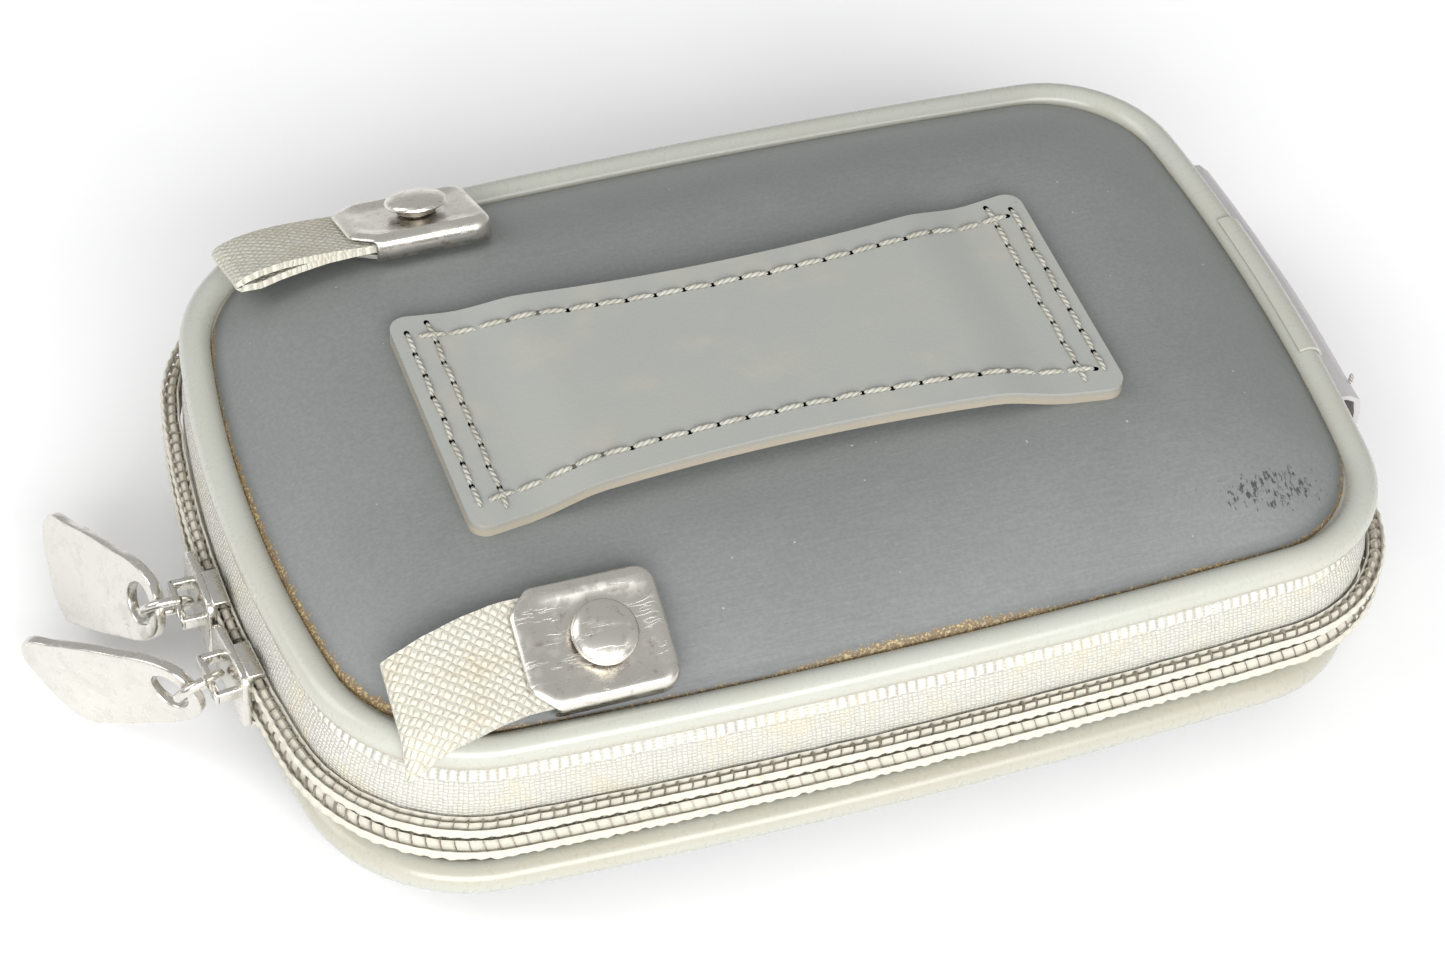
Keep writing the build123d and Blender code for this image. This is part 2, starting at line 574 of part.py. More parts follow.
def clip_cover():
    """The pressed cover, open where the strap comes out."""
    outer = extrude(clip_plan(), CLIP_HEIGHT)
    inner = extrude(clip_plan(CLIP_SHEET), CLIP_HEIGHT - CLIP_SHEET)
    half_mouth = WEBBING_WIDTH / 2 + MOUTH_CLEARANCE
    mouth_end = -CLIP_FRONT + CLIP_CHAMFER + MOUTH_DEPTH
    mouth = block((-2 * CLIP_FRONT, -half_mouth, 0), (mouth_end, half_mouth, CLIP_HEIGHT - CLIP_SHEET))
    return outer - inner - mouth - shank_hole()


def shank_hole():
    """The hole that the rivet's shank fills, through the shell and the clip."""
    return Cylinder(RIVET_SHANK / 2, THICKNESS)


def webbing():
    """The strap folded in two, held in the clip, with an open eye at the fold."""
    inside = CLIP_BACK - CLIP_SHEET - WEBBING_BACK_GAP
    end = -CLIP_FRONT - WEBBING_REACH
    middle = CLIP_BASE + WEBBING
    half_eye = WEBBING / 2 + WEBBING_EYE / 2
    droop = middle - WEBBING_DROOP
    parted = (end * WEBBING_PARTING, middle - WEBBING_DROOP * WEBBING_EARLY_DROOP)
    layers = []
    for side in (1, -1):
        flat = middle + side * WEBBING / 2
        bend = (parted[0], parted[1] + side * half_eye)
        layers.append(Polyline((inside, flat), (-CLIP_FRONT, flat), bend, (end, droop + side * half_eye)))
    fold = ThreePointArc(layers[0] @ 1, (end - half_eye, droop), layers[1] @ 1)
    line = Wire([*layers[0].edges(), fold, *layers[1].edges()])
    outline_wire = line.offset_2d(WEBBING / 2 - LAYER_GAP, kind=Kind.ARC, side=Side.BOTH, closed=True)
    strip = make_face(outline_wire.edges())
    return extrude(Plane.XZ * strip, WEBBING_WIDTH / 2, both=True) - shank_hole()


def rivet():
    """The rivet: tail and washer side inside the shell, shank, neck and low domed cap outside."""
    bottom = washer_seat() - WASHER_THICKNESS
    cap_low = CLIP_HEIGHT + RIVET_NECK_HEIGHT
    cap = RIVET_CAP / 2
    crown = arc_radius(cap, RIVET_CAP_HEIGHT * 0.5)
    tail = stub(RIVET_TAIL, bottom - RIVET_TAIL_HEIGHT, bottom)
    shank = stub(RIVET_SHANK, bottom, CLIP_HEIGHT)
    neck = stub(RIVET_NECK, CLIP_HEIGHT, cap_low)
    disc = stub(RIVET_CAP, cap_low, cap_low + RIVET_CAP_HEIGHT)
    dome = Pos(0, 0, cap_low + RIVET_CAP_HEIGHT - crown) * Sphere(crown)
    return tail + shank + neck + (disc & dome)


def stub(diameter, low, high):
    """A short round bar along the rivet's axis."""
    return Pos(0, 0, (low + high) / 2) * Cylinder(diameter / 2, high - low)


def washer_seat():
    """Height of the washer's face: its edge rests on the hollow side of the lining."""
    shell = SKIN + FOAM + LINING
    return -shell - (WASHER / 2) ** 2 / (2 * (CROWN_RADIUS - shell)) - WASHER_GAP


def washer():
    """The washer that spreads the rivet's tail on the lining."""
    return stub(WASHER, washer_seat() - WASHER_THICKNESS, washer_seat()) - shank_hole()


# ---------------------------------------------------------------- assembly
def shells(parts):
    """Both half shells."""
    holes = [anchor_place(sign) * shank_hole() for sign in (-1, 1)]
    for layer, shape in shell_layers().items():
        parts["upper_" + layer] = shape - holes[0] - holes[1]
        parts["lower_" + layer] = mirrored(shape)


def rim(parts):
    """Piping, binding, tape, chain and hinge of both halves."""
    makers = {"piping": piping, "piping_sleeve": piping_sleeve, "seam_binding": binding, "zip_tape": tape,
              "hinge_strip": hinge_strip, "hinge_lining": hinge_lining}
    for name, make in makers.items():
        shape = make()
        parts["upper_" + name] = shape
        parts["lower_" + name] = mirrored(shape)
    chain = coil()
    parts["upper_zip_coil"] = chain - sliders_way(COIL_HEIGHT + 1.0)
    parts["lower_zip_coil"] = mirrored(chain - sliders_way(OPEN_CHAIN))


def sliders(parts):
    """Both sliders with their links and pulls."""
    for name, y, aim, rise in (("near", NEAR_SLIDER_Y, NEAR_PULL_AIM, NEAR_PULL_RISE),
                               ("far", FAR_SLIDER_Y, FAR_PULL_AIM, FAR_PULL_RISE)):
        place = SliderPlace(y)
        parts[name + "_slider"] = slider(place)
        parts[name + "_slider_link"] = link(place, rise)
        parts[name + "_pull_tab"] = pull(place, aim, rise)


def belt_loop(parts):
    """The belt loop's two leather layers and its stitches."""
    parts["belt_loop_backing"] = loop_layer(0.0, LOOP_BACKING)
    parts["belt_loop_face"] = loop_layer(LOOP_BACKING, LOOP_FACE)
    parts["belt_loop_stitches"] = Compound(children=loop_stitches())


def anchors(parts):
    """Both strap anchors."""
    for name, sign in (("near", -1), ("far", 1)):
        place = anchor_place(sign)
        parts[name + "_clip_base"] = place * clip_base()
        parts[name + "_clip_cover"] = place * clip_cover()
        parts[name + "_webbing_tab"] = place * webbing()
        parts[name + "_rivet"] = place * rivet()
        parts[name + "_rivet_washer"] = place * washer()


def main():
    """Build every piece and write it to its own file."""
    parts = {}
    shells(parts)
    rim(parts)
    sliders(parts)
    belt_loop(parts)
    anchors(parts)
    os.makedirs("parts", exist_ok=True)
    for name, shape in parts.items():
        export_step(shape, os.path.join("parts", name + ".step"))


main()
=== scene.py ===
"""Looks of a zip-round camera pouch: two moulded half shells, a two-way coil zipper and a vinyl hinge.

Sizes are in millimetres and turned into metres when a piece's mesh is finished. Pieces that follow the
rim are drawn as (inset, height) rows: inset is measured inwards from the outside of the piping and
height upwards from the flat face that the pouch rests on. The lower half mirrors the upper one.
"""
import logging
import math
from collections.abc import Iterator, Sequence
from dataclasses import dataclass, field
from enum import Enum

import bmesh
import bpy
from mathutils import Matrix, Vector, noise
from mathutils.geometry import intersect_point_line, intersect_sphere_sphere_2d
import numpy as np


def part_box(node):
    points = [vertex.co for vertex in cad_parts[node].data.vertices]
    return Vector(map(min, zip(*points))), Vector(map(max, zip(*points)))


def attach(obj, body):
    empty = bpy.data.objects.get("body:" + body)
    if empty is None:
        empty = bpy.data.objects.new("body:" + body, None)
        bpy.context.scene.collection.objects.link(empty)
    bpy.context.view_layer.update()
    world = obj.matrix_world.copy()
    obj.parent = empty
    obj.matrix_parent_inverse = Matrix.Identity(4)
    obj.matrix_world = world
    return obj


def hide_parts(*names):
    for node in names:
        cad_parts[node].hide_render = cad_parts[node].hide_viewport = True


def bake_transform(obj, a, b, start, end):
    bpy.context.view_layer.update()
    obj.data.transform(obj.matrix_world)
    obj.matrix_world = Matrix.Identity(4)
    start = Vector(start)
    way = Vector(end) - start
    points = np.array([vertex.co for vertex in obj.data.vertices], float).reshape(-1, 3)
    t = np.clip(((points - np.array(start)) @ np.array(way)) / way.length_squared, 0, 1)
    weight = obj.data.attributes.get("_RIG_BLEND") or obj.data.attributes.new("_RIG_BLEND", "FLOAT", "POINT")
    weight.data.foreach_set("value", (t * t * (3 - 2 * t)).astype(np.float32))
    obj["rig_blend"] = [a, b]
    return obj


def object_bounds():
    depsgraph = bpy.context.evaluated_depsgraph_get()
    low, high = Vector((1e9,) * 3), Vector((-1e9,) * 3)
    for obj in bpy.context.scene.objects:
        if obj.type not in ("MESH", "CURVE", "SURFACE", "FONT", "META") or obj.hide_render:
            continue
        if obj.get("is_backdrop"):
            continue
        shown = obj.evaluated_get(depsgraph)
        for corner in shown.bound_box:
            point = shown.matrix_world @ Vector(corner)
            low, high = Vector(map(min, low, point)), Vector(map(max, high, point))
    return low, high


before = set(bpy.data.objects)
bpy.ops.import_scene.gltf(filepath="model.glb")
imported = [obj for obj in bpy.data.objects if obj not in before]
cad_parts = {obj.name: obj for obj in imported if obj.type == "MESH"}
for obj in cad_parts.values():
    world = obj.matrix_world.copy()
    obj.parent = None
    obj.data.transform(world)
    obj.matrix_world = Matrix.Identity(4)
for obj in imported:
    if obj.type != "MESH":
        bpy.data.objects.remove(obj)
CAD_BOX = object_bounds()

log = logging.getLogger("pouch")

MM = 0.001
BLACK = (0.0, 0.0, 0.0)
UP = Vector((0.0, 0.0, 1.0))

# ---- sizes shared by several pieces, in millimetres ----
LENGTH = 128.2
WIDTH = 86.0
THICKNESS = 36.0
MIDDLE = THICKNESS / 2
CROWN_RISE = 6.6
CROWN_WIDTH = 19.0
CROWN_RADIUS = (CROWN_WIDTH ** 2 + CROWN_RISE ** 2) / (2 * CROWN_RISE)
SEAM_INSET = 3.7
BEAD_INSET = 1.85
BEAD_HEIGHT = 28.5
BEAD_RADIUS = 1.85
STRIP_SPAN = (-16.0, 25.0)
SLIDER_SPAN = 27.0


class Half(Enum):
    """The two halves of the pouch and the bodies that they belong to."""

    UPPER = "lid"
    LOWER = "base"

    @property
    def prefix(self) -> str:
        """Start of the names of this half's pieces."""
        return "upper" if self is Half.UPPER else "lower"


class Side(Enum):
    """The long side of the pouch that a piece sits on."""

    NEAR = -1
    FAR = 1

    @property
    def prefix(self) -> str:
        """Start of the names of this side's pieces."""
        return "near" if self is Side.NEAR else "far"


# ------------------------------------------------------------------------------------ plan outline
@dataclass(frozen=True)
class Arc:
    """One arc of the outline: its centre, radius, first angle and turn in radians."""

    centre: Vector
    radius: float
    start: float
    turn: float

    def point(self, share: float) -> tuple[Vector, Vector]:
        """The point at a share of the arc and the outward direction there."""
        angle = self.start + share * self.turn
        outward = Vector((math.cos(angle), math.sin(angle)))
        return self.centre + self.radius * outward, outward


@dataclass(frozen=True)
class Row:
    """One ring of a piece that follows the rim."""

    inset: float
    height: float
    sharpen: float = 1.0


@dataclass(frozen=True)
class Outline:
    """The pouch's outline of bowed ends and sides with round corners."""

    zip_bow: float = 5.8
    hinge_bow: float = 3.4
    side_bow: float = 2.2
    zip_corner: float = 19.5
    hinge_corner: float = 16.0

    @staticmethod
    def bow_radius(half_chord: float, bow: float) -> float:
        """Radius of the arc with this half chord and this bow."""
        return (half_chord ** 2 + bow ** 2) / (2 * bow)

    def circle(self, which: str) -> tuple[Vector, float]:
        """Centre and radius of the hinge end, the zip end or the far side."""
        half_chord = WIDTH / 2 - self.side_bow
        if which == "hinge":
            radius = self.bow_radius(half_chord, self.hinge_bow)
            return Vector((LENGTH / 2 - radius, 0.0)), radius
        if which == "zip":
            radius = self.bow_radius(half_chord, self.zip_bow)
            return Vector((radius - LENGTH / 2, 0.0)), radius
        radius = self.bow_radius((LENGTH - self.zip_bow - self.hinge_bow) / 2, self.side_bow)
        return Vector(((self.zip_bow - self.hinge_bow) / 2, WIDTH / 2 - radius)), radius

    def corner(self, which: str, radius: float, inset: float) -> tuple[Vector, Vector, Vector]:
        """Centre of a far corner's arc, and where it meets the end and the side."""
        end_centre, end_radius = self.circle(which)
        side_centre, side_radius = self.circle("side")
        end_reach, side_reach = end_radius - inset, side_radius - inset
        crossings = intersect_sphere_sphere_2d(end_centre, end_reach - radius, side_centre,
                                               side_reach - radius)
        centre = max(crossings, key=lambda p: p.y)
        on_end = end_centre + (centre - end_centre).normalized() * end_reach
        on_side = side_centre + (centre - side_centre).normalized() * side_reach
        return centre, on_end, on_side

    def arcs(self, inset: float, sharpen: float = 1.0) -> list[Arc]:
        """The arcs of the outline moved inwards, anticlockwise from the middle of the hinge end.

        Args:
            inset: how far the outline moves inwards.
            sharpen: how much of the inset is taken off the corner radii.

        Returns:
            Nine arcs that close up.
        """
        hinge_radius, zip_radius = self.hinge_corner - sharpen * inset, self.zip_corner - sharpen * inset
        hinge, hinge_end, hinge_side = self.corner("hinge", hinge_radius, inset)
        zipped, zip_end, zip_side = self.corner("zip", zip_radius, inset)
        east, west, side = self.circle("hinge")[0], self.circle("zip")[0], self.circle("side")[0]
        flip = Vector((1.0, -1.0))
        stops = [(east, Vector((LENGTH / 2 - inset, 0.0)), hinge_end), (hinge, hinge_end, hinge_side),
                 (side, hinge_side, zip_side), (zipped, zip_side, zip_end), (west, zip_end, zip_end * flip),
                 (zipped * flip, zip_end * flip, zip_side * flip),
                 (side * flip, zip_side * flip, hinge_side * flip),
                 (hinge * flip, hinge_side * flip, hinge_end * flip),
                 (east, hinge_end * flip, Vector((LENGTH / 2 - inset, 0.0)))]
        found = []
        for centre, first, last in stops:
            start = math.atan2(first.y - centre.y, first.x - centre.x)
            end = math.atan2(last.y - centre.y, last.x - centre.x)
            found.append(Arc(centre, (first - centre).length, start, (end - start) % (2 * math.pi)))
        return found

    def ring(self, bm: bmesh.types.BMesh, row: Row, spacing: float,
             across: float) -> list[bmesh.types.BMEdge]:
        """Adds one closed ring by spinning a vertex round each arc in turn.

        Args:
            bm: the mesh, which has the float layers "along" and "across".
            row: where the ring lies.
            spacing: rough distance between the ring's vertices.
            across: the value of the "across" layer.

        Returns:
            The ring's edges.
        """
        along_layer, across_layer = bm.verts.layers.float["along"], bm.verts.layers.float["across"]
        arcs, base = self.arcs(row.inset, row.sharpen), self.arcs(0.0)
        first = bm.verts.new((*arcs[0].point(0.0)[0], row.height))
        first[across_layer] = across
        last, done = first, 0.0
        for arc, plain in zip(arcs, base):
            length = plain.radius * plain.turn
            steps = max(2, round(length / spacing))
            known = len(bm.verts)
            spun = bmesh.ops.spin(bm, geom=[last], cent=(*arc.centre, row.height), axis=UP, angle=arc.turn,
                                  steps=steps, dvec=(0, 0, 0), use_merge=False, use_duplicate=False)
            bm.verts.ensure_lookup_table()
            for number, vertex in enumerate(bm.verts[known:]):
                vertex[along_layer] = done + length * (number + 1) / steps
                vertex[across_layer] = across
            last = next(item for item in spun["geom_last"] if isinstance(item, bmesh.types.BMVert))
            done += length
        bmesh.ops.weld_verts(bm, targetmap={last: first})
        return list({edge for edge in self._walk(first)})

    @staticmethod
    def _walk(first: bmesh.types.BMVert) -> Iterator[bmesh.types.BMEdge]:
        """The edges of the loop that a vertex lies on."""
        edge, vertex = first.link_edges[0], first
        while True:
            yield edge
            vertex = edge.other_vert(vertex)
            if vertex is first:
                return
            edge = next(other for other in vertex.link_edges if other is not edge)

    def perimeter(self) -> float:
        """Length of the outline along the outside of the piping."""
        return sum(arc.radius * arc.turn for arc in self.arcs(0.0))

    def stations(self, inset: float, count: int) -> Iterator[tuple[Vector, Vector]]:
        """Evenly spaced points of the outline, with the outward direction at each."""
        arcs = self.arcs(inset)
        total = sum(arc.radius * arc.turn for arc in arcs)
        index, passed = 0, 0.0
        for number in range(count):
            wanted = total * (number + 0.5) / count
            while wanted > passed + arcs[index].radius * arcs[index].turn:
                passed += arcs[index].radius * arcs[index].turn
                index += 1
            yield arcs[index].point((wanted - passed) / (arcs[index].radius * arcs[index].turn))


OUTLINE = Outline()


# ------------------------------------------------------------------------------------ mesh helpers
def new_mesh() -> bmesh.types.BMesh:
    """An empty mesh with the layers that carry distances along and across a piece."""
    bm = bmesh.new()
    bm.verts.layers.float.new("along")
    bm.verts.layers.float.new("across")
    return bm


def rim_loft(rows: Sequence[Row], closed: bool, spacing: float = 2.4) -> bmesh.types.BMesh:
    """A surface bridged through several rings whose corners sharpen inwards.

    Args:
        rows: the rings, in order across the surface.
        closed: whether the last ring joins the first one.
        spacing: rough distance between vertices along the rim.

    Returns:
        The mesh, with its distances in the UV map in millimetres.
    """
    bm = new_mesh()
    steps = row_distances(rows, closed)
    rings = [OUTLINE.ring(bm, row, spacing, across) for row, across in zip(rows, steps)]
    pairs = list(zip(rings, rings[1:]))
    if closed:
        pairs.append((rings[-1], rings[0]))
    for one, other in pairs:
        bmesh.ops.bridge_loops(bm, edges=one + other)
    bmesh.ops.recalc_face_normals(bm, faces=bm.faces)
    lay_uv(bm, OUTLINE.perimeter(), steps[-1])
    return bm


def rim_sweep(rows: Sequence[Row], closed: bool, spacing: float = 2.4) -> bmesh.types.BMesh:
    """A section carried round the rim by spinning it about each arc of the outline in turn.

    Args:
        rows: the section's points, in order.
        closed: whether the section is a closed one, as of a round bead.
        spacing: rough distance between vertices along the rim.

    Returns:
        The mesh, with its distances in the UV map in millimetres.
    """
    bm = new_mesh()
    along, across = bm.verts.layers.float["along"], bm.verts.layers.float["across"]
    steps = row_distances(rows, closed)
    first = [bm.verts.new((LENGTH / 2 - row.inset, 0, row.height)) for row in rows]
    for vertex, distance in zip(first, steps):
        vertex[across] = distance
    pairs = list(zip(first, first[1:])) + ([(first[-1], first[0])] if closed else [])
    last, done = first + [bm.edges.new(pair) for pair in pairs], 0.0
    for arc in OUTLINE.arcs(0.0):
        length = arc.radius * arc.turn
        known = len(bm.verts)
        last = bmesh.ops.spin(bm, geom=last, cent=(*arc.centre, 0), axis=UP, angle=arc.turn, dvec=(0, 0, 0),
                              steps=max(2, round(length / spacing)), use_merge=False)["geom_last"]
        bm.verts.ensure_lookup_table()
        for vertex in bm.verts[known:]:
            angle = math.atan2(vertex.co.y - arc.centre.y, vertex.co.x - arc.centre.x) - arc.start
            vertex[along] = done + length * (angle % (2 * math.pi)) / arc.turn
        done += length
    ends = first + [item for item in last if isinstance(item, bmesh.types.BMVert)]
    bmesh.ops.remove_doubles(bm, verts=ends, dist=1e-3)
    bmesh.ops.recalc_face_normals(bm, faces=bm.faces)
    lay_uv(bm, done, steps[-1])
    return bm


def row_distances(rows: Sequence[Row], closed: bool) -> list[float]:
    """Distance of every row from the first, and of the last point of all, across the surface."""
    around = [*rows, rows[0]] if closed else [*rows, rows[-1]]
    distances = [0.0]
    for one, other in zip(around, around[1:]):
        distances.append(distances[-1] + math.hypot(other.inset - one.inset, other.height - one.height))
    return distances


def lay_uv(bm: bmesh.types.BMesh, along_total: float, across_total: float) -> None:
    """Writes the UV map from the distance layers, mending the faces where a closed piece starts again."""
    along, across = bm.verts.layers.float["along"], bm.verts.layers.float["across"]
    uv = bm.loops.layers.uv.new("UVMap")
    for face in bm.faces:
        far_u = max(loop.vert[along] for loop in face.loops)
        far_v = max(loop.vert[across] for loop in face.loops)
        for loop in face.loops:
            u, v = loop.vert[along], loop.vert[across]
            u += along_total if far_u - u > along_total / 2 else 0.0
            v += across_total if far_v - v > across_total / 2 else 0.0
            loop[uv].uv = (u, v)


def mirrored(bm: bmesh.types.BMesh) -> bmesh.types.BMesh:
    """The same piece turned into one of the lower half."""
    bmesh.ops.scale(bm, vec=(1, 1, -1), verts=bm.verts, space=Matrix.Translation((0, 0, -MIDDLE)))
    bmesh.ops.reverse_faces(bm, faces=bm.faces)
    return bm


def for_half(bm: bmesh.types.BMesh, half: Half) -> bmesh.types.BMesh:
    """The mesh as it is for the upper half and mirrored for the lower one."""
    return bm if half is Half.UPPER else mirrored(bm)


def cut_stretch(bm: bmesh.types.BMesh, side: int, span: tuple[float, float], keep: bool) -> None:
    """Keeps or removes the stretch of a rim piece between two places along Y at one end of the pouch."""
    for y in span:
        bmesh.ops.bisect_plane(bm, geom=bm.verts[:] + bm.edges[:] + bm.faces[:], plane_co=(0, y, 0),
                               plane_no=(0, 1, 0), dist=1e-5)
    doomed = []
    for face in bm.faces:
        middle = face.calc_center_median()
        inside = side * middle.x > 0 and span[0] < middle.y < span[1]
        if inside != keep:
            doomed.append(face)
    bmesh.ops.delete(bm, geom=doomed, context="FACES")


def close_holes(bm: bmesh.types.BMesh) -> None:
    """Fills every open border."""
    bmesh.ops.holes_fill(bm, edges=[edge for edge in bm.edges if edge.is_boundary])


def thicken(bm: bmesh.types.BMesh, thickness: float) -> None:
    """Gives a surface a wall on its inner side."""
    bmesh.ops.solidify(bm, geom=bm.faces[:], thickness=thickness)


def move(bm: bmesh.types.BMesh, matrix: Matrix) -> None:
    """Moves a whole mesh."""
    bmesh.ops.transform(bm, matrix=matrix, verts=bm.verts)


def add_copy(bm: bmesh.types.BMesh, source: bpy.types.Mesh, matrix: Matrix) -> None:
    """Adds a copy of a small mesh in its own place."""
    known = len(bm.verts)
    bm.from_mesh(source)
    bm.verts.ensure_lookup_table()
    bmesh.ops.transform(bm, matrix=matrix, verts=bm.verts[known:])


def template(bm: bmesh.types.BMesh) -> bpy.types.Mesh:
    """A mesh that copies are taken from."""
    mesh = bpy.data.meshes.new("template")
    bm.to_mesh(mesh)
    bm.free()
    return mesh


def tube(radius: float, length: float, sides: int, rings: int, belly: float = 0.0) -> bmesh.types.BMesh:
    """A closed thread along X whose UV map runs along and round it.

    Args:
        radius: of the thread in its middle.
        length: from tip to tip.
        sides: vertices round it.
        rings: steps along it.
        belly: how far the middle is lifted over the tips.

    Returns:
        The mesh, centred on the origin.
    """
    bm = new_mesh()
    along, across = bm.verts.layers.float["along"], bm.verts.layers.float["across"]
    bmesh.ops.create_circle(bm, segments=sides, radius=radius, cap_ends=True,
                            matrix=Matrix.Translation((-length / 2, 0, 0))
                            @ Matrix.Rotation(math.pi / 2, 4, "Y"))
    face = bm.faces[:]
    for _ in range(rings):
        grown = bmesh.ops.extrude_face_region(bm, geom=face)
        face = [item for item in grown["geom"] if isinstance(item, bmesh.types.BMFace)]
        moved = [item for item in grown["geom"] if isinstance(item, bmesh.types.BMVert)]
        bmesh.ops.translate(bm, vec=(length / rings, 0, 0), verts=moved)
    for vertex in bm.verts:
        share = vertex.co.x / length + 0.5
        vertex[along] = share
        vertex[across] = math.atan2(vertex.co.z, vertex.co.y) / (2 * math.pi) + 0.5
        taper = 0.45 + 0.55 * math.sqrt(max(0.0, 1 - (2 * share - 1) ** 4))
        vertex.co.y *= taper
        vertex.co.z = vertex.co.z * taper + belly * math.sin(math.pi * share)
    close_holes(bm)
    bmesh.ops.recalc_face_normals(bm, faces=bm.faces)
    lay_uv(bm, 1000.0, 1.0)
    return bm


@dataclass
class Trim:
    """What a finished piece needs besides its mesh."""

    body: str | None
    slot: str
    materials: list[bpy.types.Material]
    stands_for: tuple[str, ...] = ()
    crease: float = 35.0


def finished(name: str, bm: bmesh.types.BMesh, trim: Trim) -> bpy.types.Object:
    """Turns a mesh into a piece in metres and gives it its body and materials.

    Args:
        name: the piece's name.
        bm: its mesh in millimetres, which is used up.
        trim: its body, slot, materials, the CAD nodes it stands for and its crease angle.

    Returns:
        The new object.
    """
    move(bm, Matrix.Scale(MM, 4))
    mesh = bpy.data.meshes.new(name)
    bm.to_mesh(mesh)
    bm.free()
    mesh.shade_smooth()
    mesh.set_sharp_from_angle(angle=math.radians(trim.crease))
    piece = bpy.data.objects.new(name, mesh)
    bpy.context.collection.objects.link(piece)
    for material in trim.materials:
        mesh.materials.append(material)
    if trim.body:
        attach(piece, trim.body)
    if trim.stands_for:
        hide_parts(*trim.stands_for)
    log.info("%s: %d faces on %s", name, len(mesh.polygons), trim.body or "two bodies")
    return piece


def rounded(piece: bpy.types.Object, width: float, segments: int = 3) -> None:
    """Rounds a piece's sharp edges, by a width in millimetres."""
    bevel = piece.modifiers.new("rounded edges", "BEVEL")
    bevel.width = width * MM
    bevel.segments = segments
    bevel.limit_method = "ANGLE"
    bevel.angle_limit = math.radians(40)
    bevel.harden_normals = True


def walled(piece: bpy.types.Object, thickness: float) -> None:
    """Gives an open pressing its sheet thickness on the inner side, in millimetres."""
    wall = piece.modifiers.new("sheet", "SOLIDIFY")
    wall.thickness = thickness * MM
    wall.offset = -1.0
    wall.use_even_offset = False


# ------------------------------------------------------------------------------------ shader helpers
Socket = bpy.types.NodeSocket
Value = float | tuple | Socket


class Graph:
    """Adds and joins the nodes of one material or node group."""

    def __init__(self, tree: bpy.types.NodeTree) -> None:
        """Keeps the tree that the nodes go in."""
        self.tree = tree

    def node(self, kind: str, **settings: object) -> bpy.types.Node:
        """A new node with its settings."""
        made = self.tree.nodes.new("ShaderNode" + kind)
        for key, value in settings.items():
            setattr(made, key, value)
        return made

    def put(self, socket: Socket, value: Value) -> None:
        """Joins a socket to an input, or sets the input's value."""
        if isinstance(value, bpy.types.NodeSocket):
            self.tree.links.new(value, socket)
        elif isinstance(value, tuple) and socket.type == "RGBA" and len(value) == 3:
            socket.default_value = (*value, 1.0)
        else:
            socket.default_value = value

    def math(self, operation: str, *values: Value) -> Socket:
        """One step of arithmetic."""
        made = self.node("Math", operation=operation)
        for socket, value in zip(made.inputs, values):
            self.put(socket, value)
        return made.outputs[0]

    def span(self, value: Value, low: float, high: float, to_low: float = 0.0,
             to_high: float = 1.0) -> Socket:
        """A value moved from one span to another, smoothly and without passing its ends."""
        made = self.node("MapRange", interpolation_type="SMOOTHSTEP")
        for name, given in (("Value", value), ("From Min", low), ("From Max", high), ("To Min", to_low),
                            ("To Max", to_high)):
            self.put(made.inputs[name], given)
        return made.outputs[0]

    def mix(self, share: Value, one: Value, other: Value) -> Socket:
        """A colour between two colours."""
        made = self.node("Mix", data_type="RGBA")
        self.put(made.inputs[0], share)
        self.put(made.inputs[6], one)
        self.put(made.inputs[7], other)
        return made.outputs[2]

    def place(self) -> Socket:
        """Object coordinates in millimetres."""
        return self.scaled(self.node("TexCoord").outputs["Object"], (1000.0, 1000.0, 1000.0))

    def flat(self) -> Socket:
        """The piece's own UV map, which is in millimetres."""
        return self.node("UVMap", uv_map="UVMap").outputs[0]

    def scaled(self, vector: Socket, scale: tuple[float, float, float]) -> Socket:
        """A vector stretched along each axis."""
        made = self.node("Mapping")
        self.put(made.inputs["Vector"], vector)
        made.inputs["Scale"].default_value = scale
        return made.outputs[0]

    def axes(self, vector: Socket) -> list[Socket]:
        """The three numbers of a vector."""
        made = self.node("SeparateXYZ")
        self.put(made.inputs[0], vector)
        return list(made.outputs)

    def noise(self, vector: Socket, scale: float, detail: float = 3.0, roughness: float = 0.55) -> Socket:
        """Soft noise from 0 to 1."""
        made = self.node("TexNoise")
        self.put(made.inputs["Vector"], vector)
        self.put(made.inputs["Scale"], scale)
        self.put(made.inputs["Detail"], detail)
        self.put(made.inputs["Roughness"], roughness)
        return made.outputs[0]

    def use(self, group: bpy.types.NodeTree, **inputs: Value) -> bpy.types.bpy_prop_collection:
        """Places a node group with its own values and returns its outputs."""
        made = self.node("Group", node_tree=group)
        for name, value in inputs.items():
            self.put(made.inputs[name.replace("_", " ")], value)
        return made.outputs


def start_group(name: str, inputs: dict[str, tuple[str, float | tuple]], outputs: Sequence[str]) -> tuple:
    """Begins a node group.

    Args:
        name: of the group.
        inputs: each input's kind and first value.
        outputs: names of its number outputs.

    Returns:
        The group, its graph, the sockets of its inputs by name and its output node.
    """
    tree = bpy.data.node_groups.new(name, "ShaderNodeTree")
    for label, (kind, value) in inputs.items():
        socket = tree.interface.new_socket(name=label, in_out="INPUT", socket_type="NodeSocket" + kind)
        if kind != "Vector":
            socket.default_value = value
    for label in outputs:
        tree.interface.new_socket(name=label, in_out="OUTPUT", socket_type="NodeSocketFloat")
    entry, leave = tree.nodes.new("NodeGroupInput"), tree.nodes.new("NodeGroupOutput")
    return tree, Graph(tree), {socket.name: socket for socket in entry.outputs}, leave


